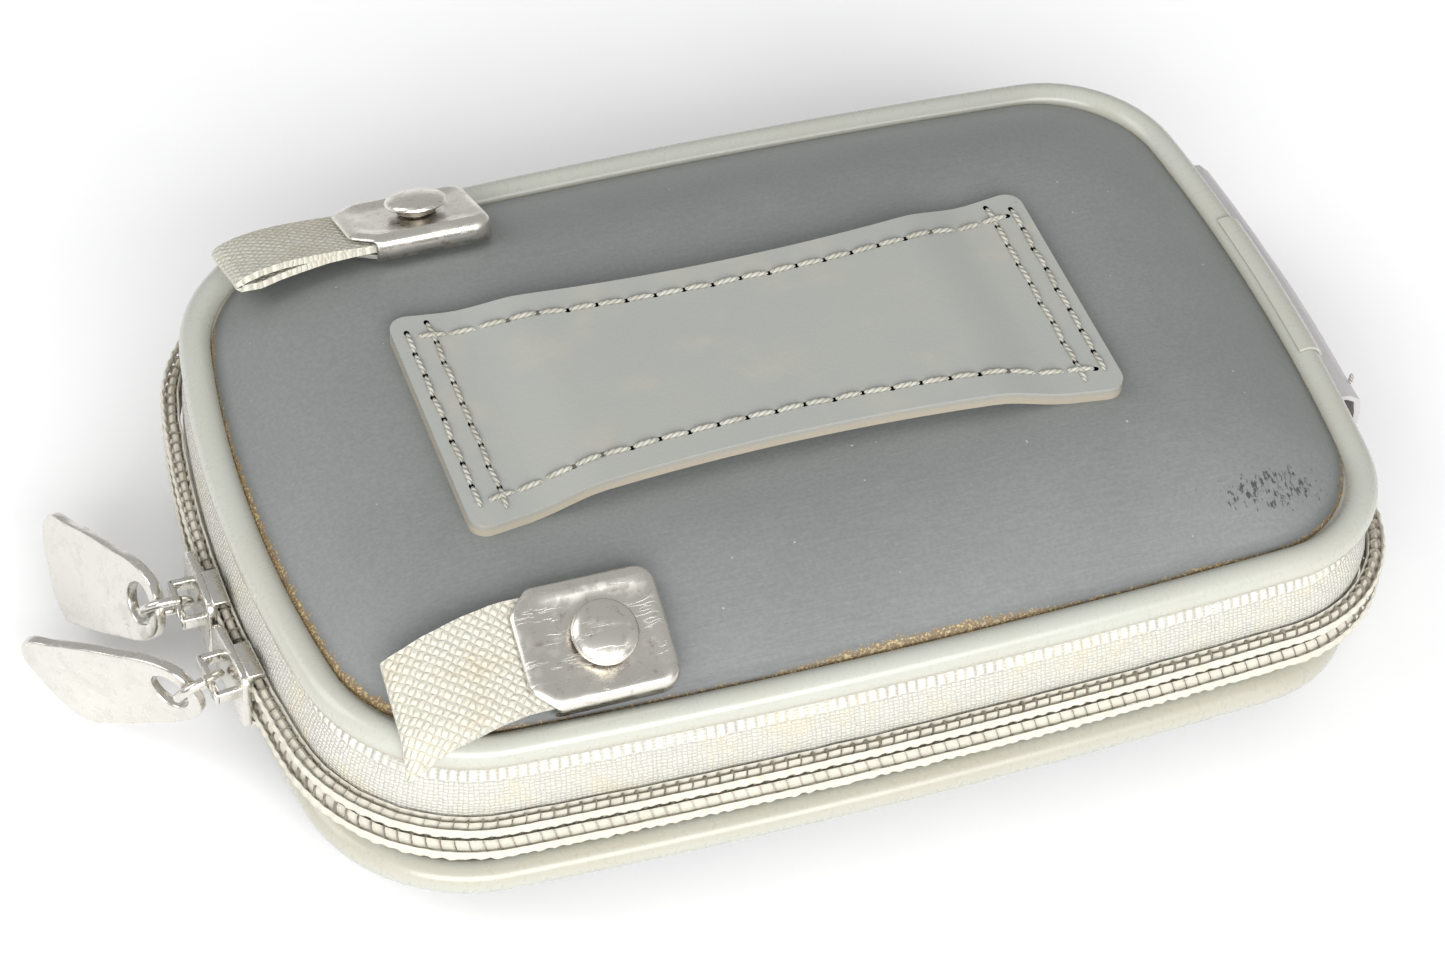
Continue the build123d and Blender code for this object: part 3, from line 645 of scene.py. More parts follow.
class Effects:
    """The shader node groups that several finishes share, each built once."""

    def __init__(self) -> None:
        """Builds every group."""
        self.grain = self._grain()
        self.weave = self._weave()
        self.specks = self._specks()
        self.marks = self._marks()

    @staticmethod
    def _grain() -> bpy.types.NodeTree:
        """Fine pebbled grain with slow colour drift."""
        tree, graph, given, leave = start_group(
            "fine grain", {"Vector": ("Vector", BLACK), "Size": ("Float", 0.5)}, ("Height", "Drift"))
        scale = graph.math("DIVIDE", 1.0, given["Size"])
        fine = graph.noise(given["Vector"], scale, 4.0, 0.6)
        slow = graph.noise(given["Vector"], 0.07, 3.0, 0.5)
        graph.put(leave.inputs["Height"], fine)
        graph.put(leave.inputs["Drift"], graph.span(slow, 0.3, 0.7))
        return tree

    @staticmethod
    def _weave() -> bpy.types.NodeTree:
        """Plain weave of crossing threads on a flat map in millimetres."""
        tree, graph, given, leave = start_group(
            "plain weave", {"Vector": ("Vector", BLACK), "Pitch Along": ("Float", 1.0),
                            "Pitch Across": ("Float", 1.0)}, ("Height", "Warp", "Gap"))
        u, v, _ = graph.axes(given["Vector"])
        u = graph.math("DIVIDE", u, given["Pitch Along"])
        v = graph.math("DIVIDE", v, given["Pitch Across"])
        cells = graph.math("ADD", graph.math("FLOOR", u), graph.math("FLOOR", v))
        warp = graph.math("MULTIPLY", graph.math("FRACT", graph.math("MULTIPLY", cells, 0.5)), 2.0)
        along = graph.math("ABSOLUTE", graph.math("SINE", graph.math("MULTIPLY", u, math.pi)))
        across = graph.math("ABSOLUTE", graph.math("SINE", graph.math("MULTIPLY", v, math.pi)))
        over = graph.math("ADD", graph.math("MULTIPLY", along, warp),
                          graph.math("MULTIPLY", across, graph.math("SUBTRACT", 1.0, warp)))
        gap = graph.math("MULTIPLY", along, across)
        graph.put(leave.inputs["Height"], graph.math("MULTIPLY", over, graph.math("POWER", gap, 0.4)))
        graph.put(leave.inputs["Warp"], warp)
        graph.put(leave.inputs["Gap"], graph.span(gap, 0.35, 0.05))
        return tree

    @staticmethod
    def _specks() -> bpy.types.NodeTree:
        """Scattered small spots such as dust."""
        tree, graph, given, leave = start_group(
            "specks", {"Vector": ("Vector", BLACK), "Spacing": ("Float", 3.0), "Radius": ("Float", 0.15),
                       "Share": ("Float", 0.3)}, ("Mask",))
        cells = graph.node("TexVoronoi")
        graph.put(cells.inputs["Vector"], given["Vector"])
        graph.put(cells.inputs["Scale"], graph.math("DIVIDE", 1.0, given["Spacing"]))
        distance = graph.math("MULTIPLY", cells.outputs["Distance"], given["Spacing"])
        pick, size, _ = graph.axes(cells.outputs["Color"])
        chosen = graph.math("LESS_THAN", pick, given["Share"])
        radius = graph.math("MULTIPLY", given["Radius"], graph.math("ADD", size, 0.25))
        spot = graph.math("SUBTRACT", 1.0, graph.math("DIVIDE", distance, radius))
        spot = graph.math("MULTIPLY", graph.span(spot, 0.0, 0.5), chosen)
        graph.put(leave.inputs["Mask"], spot)
        return tree

    @staticmethod
    def _marks() -> bpy.types.NodeTree:
        """Thin scratches: the crests of stretched noise, broken up."""
        tree, graph, given, leave = start_group(
            "scratches", {"Vector": ("Vector", BLACK), "Density": ("Float", 1.0), "Width": ("Float", 0.02)},
            ("Mask",))
        lines = graph.noise(given["Vector"], given["Density"], 2.0, 0.5)
        crest = graph.math("ABSOLUTE", graph.math("SUBTRACT", lines, 0.5))
        near = graph.math("SUBTRACT", 1.0, graph.math("DIVIDE", crest, given["Width"]))
        broken = graph.noise(given["Vector"], graph.math("MULTIPLY", given["Density"], 0.37), 2.0)
        graph.put(leave.inputs["Mask"],
                  graph.math("MULTIPLY", graph.span(near, 0.0, 1.0), graph.span(broken, 0.5, 0.62)))
        return tree


EFFECTS = Effects()


@dataclass(frozen=True)
class Finish:
    """A finish with its main colour; subclasses add their own detail."""

    name: str
    colour: tuple[float, float, float]
    roughness: float = 0.5
    specular: float = 0.5
    metallic: float = 0.0

    def material(self) -> bpy.types.Material:
        """The finish as a new material."""
        made = bpy.data.materials.new(self.name)
        made.use_nodes = True
        made.node_tree.nodes.clear()
        graph = Graph(made.node_tree)
        shader = graph.node("BsdfPrincipled")
        shader.inputs["Specular IOR Level"].default_value = self.specular
        shader.inputs["Metallic"].default_value = self.metallic
        graph.put(shader.inputs["Base Color"], self.colour)
        shader.inputs["Roughness"].default_value = self.roughness
        self.dress(graph, shader)
        graph.put(graph.node("OutputMaterial").inputs["Surface"], shader.outputs[0])
        made.diffuse_color = (*self.colour, 1.0)
        return made

    def dress(self, graph: Graph, shader: bpy.types.Node) -> None:
        """Adds the finish's colour variation, roughness and bump."""
        raise NotImplementedError

    @staticmethod
    def bump(graph: Graph, shader: bpy.types.Node, height: Socket, distance: float,
             strength: float = 1.0) -> None:
        """Raises the surface by a height whose full span is a distance in millimetres."""
        made = graph.node("Bump")
        made.inputs["Strength"].default_value = strength
        made.inputs["Distance"].default_value = distance * MM
        graph.put(made.inputs["Height"], height)
        graph.put(shader.inputs["Normal"], made.outputs[0])


@dataclass(frozen=True)
class CoatedSkin(Finish):
    """Grey coated cloth: fine lines, pale dust, painted shade and grime beside the piping and a scuffed
    patch.
    """

    grime: tuple[float, float, float] = (0.20, 0.13, 0.06)
    glitter: tuple[float, float, float] = (0.55, 0.43, 0.20)
    scuff_at: tuple[float, float] = (47.6, -32.0)
    worn_and_seam_shaded: bool = True

    def dress(self, graph: Graph, shader: bpy.types.Node) -> None:
        """Layers the grain, dust, painted shade beside the seam, grime and scuffs."""
        place = graph.place()
        x, y, _ = graph.axes(place)
        grain = graph.use(EFFECTS.grain, Vector=place, Size=0.45)
        lines = graph.noise(graph.scaled(place, (0.35, 5.0, 5.0)), 1.0, 2.0, 0.6)
        colour = graph.mix(graph.math("MULTIPLY", grain["Drift"], 0.35), self.colour,
                           tuple(1.22 * part for part in self.colour))
        colour = graph.mix(graph.span(lines, 0.3, 0.75, 0.0, 0.22), colour,
                           tuple(1.5 * p for p in self.colour))
        colour = graph.mix(graph.span(grain["Height"], 0.35, 0.65, 0.22, 0.0), colour,
                           tuple(0.6 * part for part in self.colour))
        dust = graph.use(EFFECTS.specks, Vector=place, Spacing=2.6, Radius=0.17, Share=0.4)["Mask"]
        lint = graph.use(EFFECTS.specks, Vector=graph.scaled(place, (1.3, 0.6, 1.0)), Spacing=7.0, Radius=0.4,
                         Share=0.3)["Mask"]
        colour = graph.mix(graph.math("MULTIPLY", graph.math("MAXIMUM", dust, lint), 0.5), colour,
                           (0.62, 0.63, 0.60))
        dark = graph.use(EFFECTS.specks, Vector=place, Spacing=9.0, Radius=0.3, Share=0.35)["Mask"]
        colour = graph.mix(graph.math("MULTIPLY", dark, 0.6), colour, (0.03, 0.03, 0.03))
        # painted shade beside the seam, then the grime and the scuffs
        if self.worn_and_seam_shaded:
            colour = self._seam_shade_and_grime(graph, colour, place, x, y)
            colour = self._scuffs(graph, colour, place, x, y)
        graph.put(shader.inputs["Base Color"], colour)
        graph.put(shader.inputs["Roughness"], graph.span(lines, 0.2, 0.8, self.roughness - 0.05,
                                                         self.roughness + 0.08))
        height = graph.math("ADD", graph.math("MULTIPLY", grain["Height"], 0.5),
                            graph.math("MULTIPLY", lines, 0.5))
        self.bump(graph, shader, graph.math("ADD", height, dust), 0.05, 0.7)

    def _seam_shade_and_grime(self, graph: Graph, colour: Socket, place: Socket, x: Socket, y: Socket) -> Socket:
        """Paints shade on the skin beside the seam and lays brown glittering grime in it."""
        _, across, _ = graph.axes(graph.flat())
        # painted shade: the skin darkens towards a third of its colour within 2.6 mm of the seam
        shade = graph.span(across, 2.6, 0.6)
        colour = graph.mix(graph.math("MULTIPLY", shade, 0.55), colour,
                           tuple(0.3 * part for part in self.colour))
        patches = graph.noise(graph.scaled(place, (0.09, 0.09, 0.09)), 1.0, 2.0)
        middle = graph.span(graph.math("ABSOLUTE", graph.math("ADD", x, -4.0)), 24.0, 4.0)
        front = graph.math("MULTIPLY", middle, graph.span(y, -20.0, -34.0))
        left = graph.math("MULTIPLY", graph.span(x, -30.0, -52.0), graph.span(y, 26.0, -6.0))
        heavy = graph.math("MAXIMUM", graph.math("MAXIMUM", front, graph.math("MULTIPLY", left, 0.7)),
                           graph.span(patches, 0.45, 0.7, 0.12, 0.45))
        reach = graph.math("ADD", 0.55, graph.math("MULTIPLY", heavy, 1.5))
        ragged = graph.math("MULTIPLY", graph.noise(place, 1.6, 4.0, 0.7), 1.4)
        near = graph.math("SUBTRACT", graph.math("MULTIPLY", reach, ragged),
                          graph.math("SUBTRACT", across, 0.45))
        mask = graph.span(near, 0.0, 0.5)
        glitter = graph.span(graph.noise(place, 3.4, 2.0, 0.7), 0.5, 0.64)
        return graph.mix(graph.math("MULTIPLY", mask, 0.9), colour,
                         graph.mix(glitter, self.grime, self.glitter))

    def _scuffs(self, graph: Graph, colour: Socket, place: Socket, x: Socket, y: Socket) -> Socket:
        """A rubbed patch of short dark dashes near the hinge end."""
        across = graph.math("DIVIDE", graph.math("SUBTRACT", x, self.scuff_at[0]), 9.5)
        down = graph.math("DIVIDE", graph.math("SUBTRACT", y, self.scuff_at[1]), 3.2)
        spread = graph.math("SQRT", graph.math("ADD", graph.math("MULTIPLY", across, across),
                                               graph.math("MULTIPLY", down, down)))
        dashes = graph.noise(graph.scaled(place, (2.4, 0.9, 0.9)), 1.0, 3.0, 0.65)
        edge = graph.span(spread, 1.15, 0.2, 0.0, 0.16)
        mask = graph.span(graph.math("ADD", dashes, edge), 0.66, 0.74)
        mask = graph.math("MULTIPLY", mask, graph.span(spread, 1.3, 0.9))
        return graph.mix(graph.math("MULTIPLY", mask, 0.85), colour, (0.035, 0.033, 0.035))


@dataclass(frozen=True)
class PipingVinyl(Finish):
    """Glossy off-white vinyl with painted shade on its lower side, patchy yellowing and faint dirt."""

    yellowed_and_shaded: tuple[float, float, float] = (0.42, 0.37, 0.28)

    def dress(self, graph: Graph, shader: bpy.types.Node) -> None:
        """Adds the painted shade on the lower side, the yellowing, dirt and slight unevenness."""
        place = graph.place()
        _, across, _ = graph.axes(graph.flat())
        grain = graph.use(EFFECTS.grain, Vector=place, Size=0.9)
        # painted shade: a brownish band along the bead's lower outer side
        low = graph.span(graph.math("ABSOLUTE", graph.math("SUBTRACT", across, 6.9)), 2.2, 0.5)
        colour = graph.mix(graph.math("MULTIPLY", low, 0.4), self.colour, self.yellowed_and_shaded)
        # patchy yellowing at random, in the same colour
        colour = graph.mix(graph.math("MULTIPLY", grain["Drift"], 0.18), colour, self.yellowed_and_shaded)
        dirt = graph.use(EFFECTS.specks, Vector=place, Spacing=6.0, Radius=0.2, Share=0.2)["Mask"]
        colour = graph.mix(graph.math("MULTIPLY", dirt, 0.3), colour, (0.20, 0.17, 0.12))
        graph.put(shader.inputs["Base Color"], colour)
        graph.put(shader.inputs["Roughness"], graph.span(grain["Height"], 0.3, 0.7, self.roughness - 0.06,
                                                         self.roughness + 0.08))
        shader.inputs["Coat Weight"].default_value = 0.35
        shader.inputs["Coat Roughness"].default_value = 0.2
        self.bump(graph, shader, grain["Height"], 0.015, 0.4)


@dataclass(frozen=True)
class WovenCloth(Finish):
    """Cream woven cloth on the piece's flat map, with stains and loose fibres."""

    pitch: tuple[float, float] = (0.62, 0.42)
    stain: tuple[float, float, float] = (0.72, 0.62, 0.38)
    relief: float = 0.16
    slant: float = 0.0
    staining: float = 0.35
    rib_band: tuple[float, float] | None = None

    def dress(self, graph: Graph, shader: bpy.types.Node) -> None:
        """Adds the weave, the ribbed edge where there is one, stains and fibres."""
        flat, place = graph.flat(), graph.place()
        wobble = graph.node("TexNoise")
        graph.put(wobble.inputs["Vector"], place)
        wobble.inputs["Scale"].default_value = 0.8
        shifted = graph.node("VectorMath", operation="MULTIPLY_ADD")
        graph.put(shifted.inputs[0], wobble.outputs["Color"])
        shifted.inputs[1].default_value = (0.55, 0.55, 0.0)
        graph.put(shifted.inputs[2], flat)
        slanted = graph.node("Mapping")
        graph.put(slanted.inputs["Vector"], shifted.outputs[0])
        slanted.inputs["Rotation"].default_value = (0.0, 0.0, self.slant)
        weave = graph.use(EFFECTS.weave, Vector=slanted.outputs[0], Pitch_Along=self.pitch[0],
                          Pitch_Across=self.pitch[1])
        grain = graph.use(EFFECTS.grain, Vector=place, Size=0.25)
        colour = graph.mix(graph.span(grain["Height"], 0.35, 0.7, 0.35, 0.0), self.colour,
                           tuple(0.72 * part for part in self.colour))
        colour = graph.mix(graph.math("MULTIPLY", weave["Gap"], 0.45), colour,
                           tuple(part * tint for part, tint in zip(self.colour, (0.50, 0.46, 0.38))))
        stains = graph.span(graph.noise(graph.scaled(place, (0.14, 0.14, 0.14)), 1.0, 4.0, 0.65), 0.46, 0.68)
        colour = graph.mix(graph.math("MULTIPLY", stains, self.staining), colour, self.stain)
        height = weave["Height"]
        if self.rib_band:
            u, v, _ = graph.axes(flat)
            ribs = graph.math("ABSOLUTE", graph.math("SINE", graph.math("MULTIPLY", u, math.pi / 1.15)))
            middle = (self.rib_band[0] + self.rib_band[1]) / 2
            reach = (self.rib_band[1] - self.rib_band[0]) / 2
            inside = graph.span(graph.math("ABSOLUTE", graph.math("SUBTRACT", v, middle)), reach,
                                reach * 0.72)
            colour = graph.mix(graph.math("MULTIPLY", inside, graph.span(ribs, 0.25, 0.8, 0.0, 0.6)), colour,
                               tuple(1.08 * part for part in self.colour))
            inside = graph.math("MULTIPLY", inside,
                                graph.span(graph.noise(place, 0.3, 2.0), 0.35, 0.6, 0.3, 1.0))
            colour = graph.mix(graph.math("MULTIPLY", inside, graph.span(ribs, 0.35, 0.0, 0.0, 0.4)), colour,
                               (0.50, 0.44, 0.34))
            raised = graph.math("MULTIPLY", ribs, 2.2)
            height = graph.math("ADD", graph.math("MULTIPLY", height, graph.math("SUBTRACT", 1.0, inside)),
                                graph.math("MULTIPLY", raised, inside))
        graph.put(shader.inputs["Base Color"], colour)
        shader.inputs["Sheen Weight"].default_value = 0.25
        shader.inputs["Sheen Roughness"].default_value = 0.5
        self.bump(graph, shader, graph.math("ADD", height, graph.math("MULTIPLY", grain["Height"], 0.4)),
                  self.relief)


@dataclass(frozen=True)
class SpunThread(Finish):
    """Twisted thread whose strands wind round it, on a map that runs along and round each length."""

    turns: float = 3.0
    shade_and_soil: tuple[float, float, float] = (0.26, 0.24, 0.19)

    def dress(self, graph: Graph, shader: bpy.types.Node) -> None:
        """Adds the twist with painted shade in its grooves, and a little soiling."""
        u, v, _ = graph.axes(graph.flat())
        phase = graph.math("ADD", graph.math("MULTIPLY", u, self.turns), graph.math("MULTIPLY", v, 2.0))
        strand = graph.math("ABSOLUTE", graph.math("SINE", graph.math("MULTIPLY", phase, math.pi)))
        soil = graph.span(graph.noise(graph.place(), 0.35, 3.0), 0.42, 0.66)
        # painted shade in the grooves between the strands
        colour = graph.mix(graph.span(strand, 0.45, 0.0, 0.0, 0.8), self.colour, self.shade_and_soil)
        colour = graph.mix(graph.math("MULTIPLY", soil, 0.4), colour, self.shade_and_soil)
        graph.put(shader.inputs["Base Color"], colour)
        graph.put(shader.inputs["Roughness"],
                  graph.span(strand, 0.0, 1.0, self.roughness + 0.2, self.roughness))
        self.bump(graph, shader, strand, 0.14)


@dataclass(frozen=True)
class Moulded(Finish):
    """A plain moulded or cast material: nylon, vinyl or foam with its own grain and soiling."""

    grain: float = 0.4
    relief: float = 0.04
    soil: tuple[float, float, float] = (0.25, 0.20, 0.14)
    soiling: float = 0.3

    def dress(self, graph: Graph, shader: bpy.types.Node) -> None:
        """Adds the grain and the soiling."""
        place = graph.place()
        grain = graph.use(EFFECTS.grain, Vector=place, Size=self.grain)
        colour = graph.mix(graph.math("MULTIPLY", grain["Drift"], 0.3), self.colour,
                           tuple(0.84 * part for part in self.colour))
        soil = graph.span(graph.noise(place, 0.5, 4.0, 0.7), 0.52, 0.74)
        colour = graph.mix(graph.math("MULTIPLY", soil, self.soiling), colour, self.soil)
        graph.put(shader.inputs["Base Color"], colour)
        graph.put(shader.inputs["Roughness"], graph.span(grain["Height"], 0.3, 0.7, self.roughness - 0.08,
                                                         self.roughness + 0.08))
        self.bump(graph, shader, grain["Height"], self.relief)


@dataclass(frozen=True)
class LoopLeather(Finish):
    """Smooth grey leather with a burnished tan edge, which the "edge" attribute places."""

    edge: tuple[float, float, float] = (0.30, 0.28, 0.24)
    tan: tuple[float, float, float] = (0.36, 0.32, 0.25)

    def dress(self, graph: Graph, shader: bpy.types.Node) -> None:
        """Adds the faint mottling, pores, rubbed edge and specks."""
        place = graph.place()
        grain = graph.use(EFFECTS.grain, Vector=place, Size=0.35)
        colour = graph.mix(graph.math("MULTIPLY", grain["Drift"], 0.4), self.colour,
                           tuple(part * tint for part, tint in zip(self.colour, (1.09, 1.06, 1.0))))
        warm = graph.span(graph.noise(graph.scaled(place, (0.12, 0.12, 0.12)), 1.0, 3.0), 0.48, 0.7)
        colour = graph.mix(graph.math("MULTIPLY", warm, 0.3), colour, (0.46, 0.42, 0.36))
        specks = graph.use(EFFECTS.specks, Vector=place, Spacing=5.0, Radius=0.2, Share=0.22)["Mask"]
        colour = graph.mix(graph.math("MULTIPLY", specks, 0.5), colour, (0.16, 0.14, 0.12))
        edge = graph.node("Attribute", attribute_name="edge").outputs["Fac"]
        ragged = graph.math("ADD", edge,
                            graph.math("MULTIPLY", graph.math("SUBTRACT", grain["Height"], 0.5), 0.5))
        colour = graph.mix(graph.span(ragged, 0.05, 0.5, 0.0, 0.75), colour, self.edge)
        colour = graph.mix(graph.span(ragged, 0.78, 1.05), colour, self.tan)
        graph.put(shader.inputs["Base Color"], colour)
        graph.put(shader.inputs["Roughness"],
                  graph.span(edge, 0.2, 1.0, self.roughness, self.roughness + 0.3))
        self.bump(graph, shader, graph.math("ADD", grain["Height"], graph.math("MULTIPLY", warm, 0.6)), 0.03)


@dataclass(frozen=True)
class Nickel(Finish):
    """Warm bright nickel with fine scratches, dull patches and stain in its low places."""

    stain: tuple[float, float, float] = (0.30, 0.20, 0.11)
    staining: float = 0.5
    brushed: tuple[float, float, float] = (1.0, 1.0, 1.0)

    def dress(self, graph: Graph, shader: bpy.types.Node) -> None:
        """Adds the scratches, dull patches and stains."""
        place = graph.place()
        grain = graph.use(EFFECTS.grain, Vector=place, Size=0.4)
        streaks = graph.use(EFFECTS.marks, Vector=graph.scaled(place, self.brushed), Density=0.9,
                            Width=0.03)["Mask"]
        cuts = graph.use(EFFECTS.marks, Vector=graph.scaled(place, (0.4, 1.6, 0.9)), Density=0.7,
                         Width=0.012)["Mask"]
        dull = graph.span(graph.noise(place, 0.45, 3.0), 0.45, 0.7)
        stained = graph.span(graph.noise(place, 0.8, 4.0, 0.7), 0.55, 0.75, 0.0, self.staining)
        colour = graph.mix(graph.math("MULTIPLY", dull, 0.25), self.colour,
                           tuple(0.8 * p for p in self.colour))
        colour = graph.mix(stained, colour, self.stain)
        colour = graph.mix(graph.math("MULTIPLY", cuts, 0.5), colour, (0.95, 0.94, 0.90))
        graph.put(shader.inputs["Base Color"], colour)
        rough = graph.math("ADD", graph.span(dull, 0.0, 1.0, self.roughness, self.roughness + 0.14),
                           graph.math("MULTIPLY", streaks, 0.2))
        graph.put(shader.inputs["Roughness"], rough)
        height = graph.math("SUBTRACT", graph.math("MULTIPLY", grain["Height"], 0.25), streaks)
        self.bump(graph, shader, graph.math("SUBTRACT", height, cuts), 0.015, 0.6)


@dataclass(frozen=True)
class PaperFloor(Finish):
    """A pale floor with hardly any tooth."""

    def dress(self, graph: Graph, shader: bpy.types.Node) -> None:
        """Adds the tooth."""
        grain = graph.use(EFFECTS.grain, Vector=graph.place(), Size=2.0)
        graph.put(shader.inputs["Base Color"], graph.mix(grain["Drift"], self.colour,
                                                         tuple(0.99 * part for part in self.colour)))


SKIN = CoatedSkin("coated skin", (0.195, 0.205, 0.20), 0.4, 0.5).material()
PIPING = PipingVinyl("piping vinyl", (0.45, 0.46, 0.41), 0.3).material()
TAPE = WovenCloth("zipper tape", (0.69, 0.68, 0.625), 0.85, 0.25, pitch=(0.56, 0.42),
                  rib_band=(6.55, 8.1)).material()
COIL = Moulded("coil nylon", (0.50, 0.455, 0.39), 0.34, grain=0.6, relief=0.03, soiling=0.25).material()
CORD = Moulded("chain thread", (0.64, 0.615, 0.53), 0.8, 0.25, grain=0.3, relief=0.15,
               soil=(0.50, 0.44, 0.33),
               soiling=0.4).material()
HINGE = Moulded("hinge vinyl", (0.56, 0.54, 0.545), 0.42, grain=0.5, relief=0.04, soil=(0.30, 0.24, 0.20),
                soiling=0.2).material()
LEATHER = LoopLeather("loop leather", (0.35, 0.36, 0.34), 0.36).material()
BACKING = LoopLeather("loop backing", (0.40, 0.38, 0.33), 0.6).material()
THREAD = SpunThread("loop thread", (0.50, 0.49, 0.43), 0.55, turns=3.5).material()
HOLE = Moulded("needle hole", (0.13, 0.12, 0.10), 0.9, 0.1, grain=0.3).material()
NICKEL = Nickel("clip nickel", (0.76, 0.73, 0.67), 0.26, metallic=1.0, brushed=(0.3, 2.0, 1.0)).material()
POLISHED = Nickel("pull nickel", (0.72, 0.70, 0.65), 0.2, metallic=1.0, staining=0.15).material()
WEBBING = WovenCloth("webbing", (0.68, 0.66, 0.57), 0.9, 0.25, pitch=(0.85, 0.8), stain=(0.52, 0.45, 0.31),
                     relief=0.22, slant=math.pi / 4, staining=0.5).material()
FOAM = Moulded("foam", (0.16, 0.16, 0.17), 0.95, 0.1, grain=0.35, relief=0.2).material()
LINING = WovenCloth("knit lining", (0.075, 0.075, 0.08), 0.9, 0.2, pitch=(0.5, 0.5),
                    stain=(0.10, 0.10, 0.10), relief=0.1).material()
BINDING = Moulded("binding", (0.06, 0.06, 0.065), 0.85, 0.2, grain=0.25, relief=0.15).material()


# ------------------------------------------------------------------------------------ sub-assemblies
@dataclass
class MouldedShell:
    """One half shell: coated skin, foam and lining."""

    half: Half
    skin: float = 0.6
    steps: int = 18
    lining_depth: float = 3.1
    lining: float = 0.36
    spacing: float = 2.4

    def crown_rows(self, depth: float) -> list[Row]:
        """Rings from the seam to the flat of the crown, at a depth under the surface."""
        reach = CROWN_RADIUS - depth
        rim = math.acos((CROWN_RADIUS - CROWN_RISE) / reach)
        rows = []
        for step in range(self.steps + 1):
            angle = rim * (1 - step / self.steps)
            rows.append(Row(SEAM_INSET + CROWN_WIDTH - reach * math.sin(angle),
                            THICKNESS - CROWN_RADIUS + reach * math.cos(angle), 0.5))
        return rows

    def build_skin(self) -> bmesh.types.BMesh:
        """The skin, with its edge turned down behind the piping and a closed flat."""
        edge = [Row(3.5, 28.7, 0.5), Row(3.55, 29.1, 0.5)]
        bm = rim_loft(edge + self.crown_rows(0.0), False, self.spacing)
        self._cap(bm, THICKNESS)
        thicken(bm, self.skin)
        return for_half(bm, self.half)

    def build_lining(self) -> bmesh.types.BMesh:
        """The lining's surface and its thickness towards the foam."""
        bm = rim_loft(self.crown_rows(self.lining_depth), False, self.spacing)
        self._cap(bm, THICKNESS - self.lining_depth)
        thicken(bm, -self.lining)
        return for_half(bm, self.half)

    @staticmethod
    def _cap(bm: bmesh.types.BMesh, height: float) -> None:
        """Closes the inner border at a height and gives the flat its map."""
        border = [edge for edge in bm.edges if edge.is_boundary and abs(edge.verts[0].co.z - height) < 0.01]
        made = bmesh.ops.contextual_create(bm, geom=border)["faces"]
        uv = bm.loops.layers.uv["UVMap"]
        for face in made:
            for loop in face.loops:
                loop[uv].uv = (loop.vert.co.x + 500.0, loop.vert.co.y + 500.0)
        bmesh.ops.recalc_face_normals(bm, faces=bm.faces)

    def dress(self) -> None:
        """Makes the pieces and gives the foam its material."""
        body, prefix = self.half.value, self.half.prefix
        finished(f"{prefix}_shell_skin", self.build_skin(),
                 Trim(body, "coated_skin", [SKIN], (f"{prefix}_skin",), 50.0))
        finished(f"{prefix}_shell_lining", self.build_lining(),
                 Trim(body, "lining", [LINING], (f"{prefix}_lining",), 50.0))
        for node, material in (("foam", FOAM), ("seam_binding", BINDING)):
            coat(f"{prefix}_{node}", material)


def coat(node: str, material: bpy.types.Material) -> None:
    """Gives a kept CAD node its material."""
    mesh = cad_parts[node].data
    mesh.materials.clear()
    mesh.materials.append(material)
    log.info("%s: kept, with %s", node, material.name)


@dataclass
class Piping:
    """The piping bead of one half with its sewn-in web, and the sleeve over its joint."""

    half: Half
    facets: int = 16
    web: float = 0.35
    web_end: float = 7.7
    sleeve_wall: float = 0.35
    sleeve_span: tuple[float, float] = (-11.5, 11.5)

    def build_bead(self) -> bmesh.types.BMesh:
        """The bead and its web as one closed ring."""
        gap = math.asin(self.web / BEAD_RADIUS)
        rows = []
        for step in range(self.facets + 1):
            angle = gap + (2 * math.pi - 2 * gap) * step / self.facets
            rows.append(Row(BEAD_INSET + BEAD_RADIUS * math.cos(angle),
                            BEAD_HEIGHT + BEAD_RADIUS * math.sin(angle)))
        rows += [Row(self.web_end, BEAD_HEIGHT - self.web), Row(self.web_end, BEAD_HEIGHT + self.web)]
        bm = rim_sweep(rows, True, 2.0)
        return for_half(bm, self.half)

    def build_sleeve(self) -> bmesh.types.BMesh:
        """The sleeve, open towards the seam, cut straight across at its ends."""
        radius, rows = BEAD_RADIUS + self.sleeve_wall, []
        for step in range(self.facets + 1):
            angle = math.radians(62 + (298 - 62) * step / self.facets)
            rows.append(Row(BEAD_INSET + radius * math.cos(angle), BEAD_HEIGHT + radius * math.sin(angle)))
        bm = rim_sweep(rows, False, 2.0)
        cut_stretch(bm, 1, self.sleeve_span, True)
        thicken(bm, self.sleeve_wall)
        return for_half(bm, self.half)

    def dress(self) -> None:
        """Makes both pieces."""
        body, prefix = self.half.value, self.half.prefix
        finished(f"{prefix}_piping_bead", self.build_bead(),
                 Trim(body, "piping_vinyl", [PIPING], (f"{prefix}_piping",), 40.0))
        sleeve = finished(f"{prefix}_piping_joint_sleeve", self.build_sleeve(),
                          Trim(body, "piping_vinyl", [PIPING], (f"{prefix}_piping_sleeve",), 40.0))
        rounded(sleeve, 0.12)


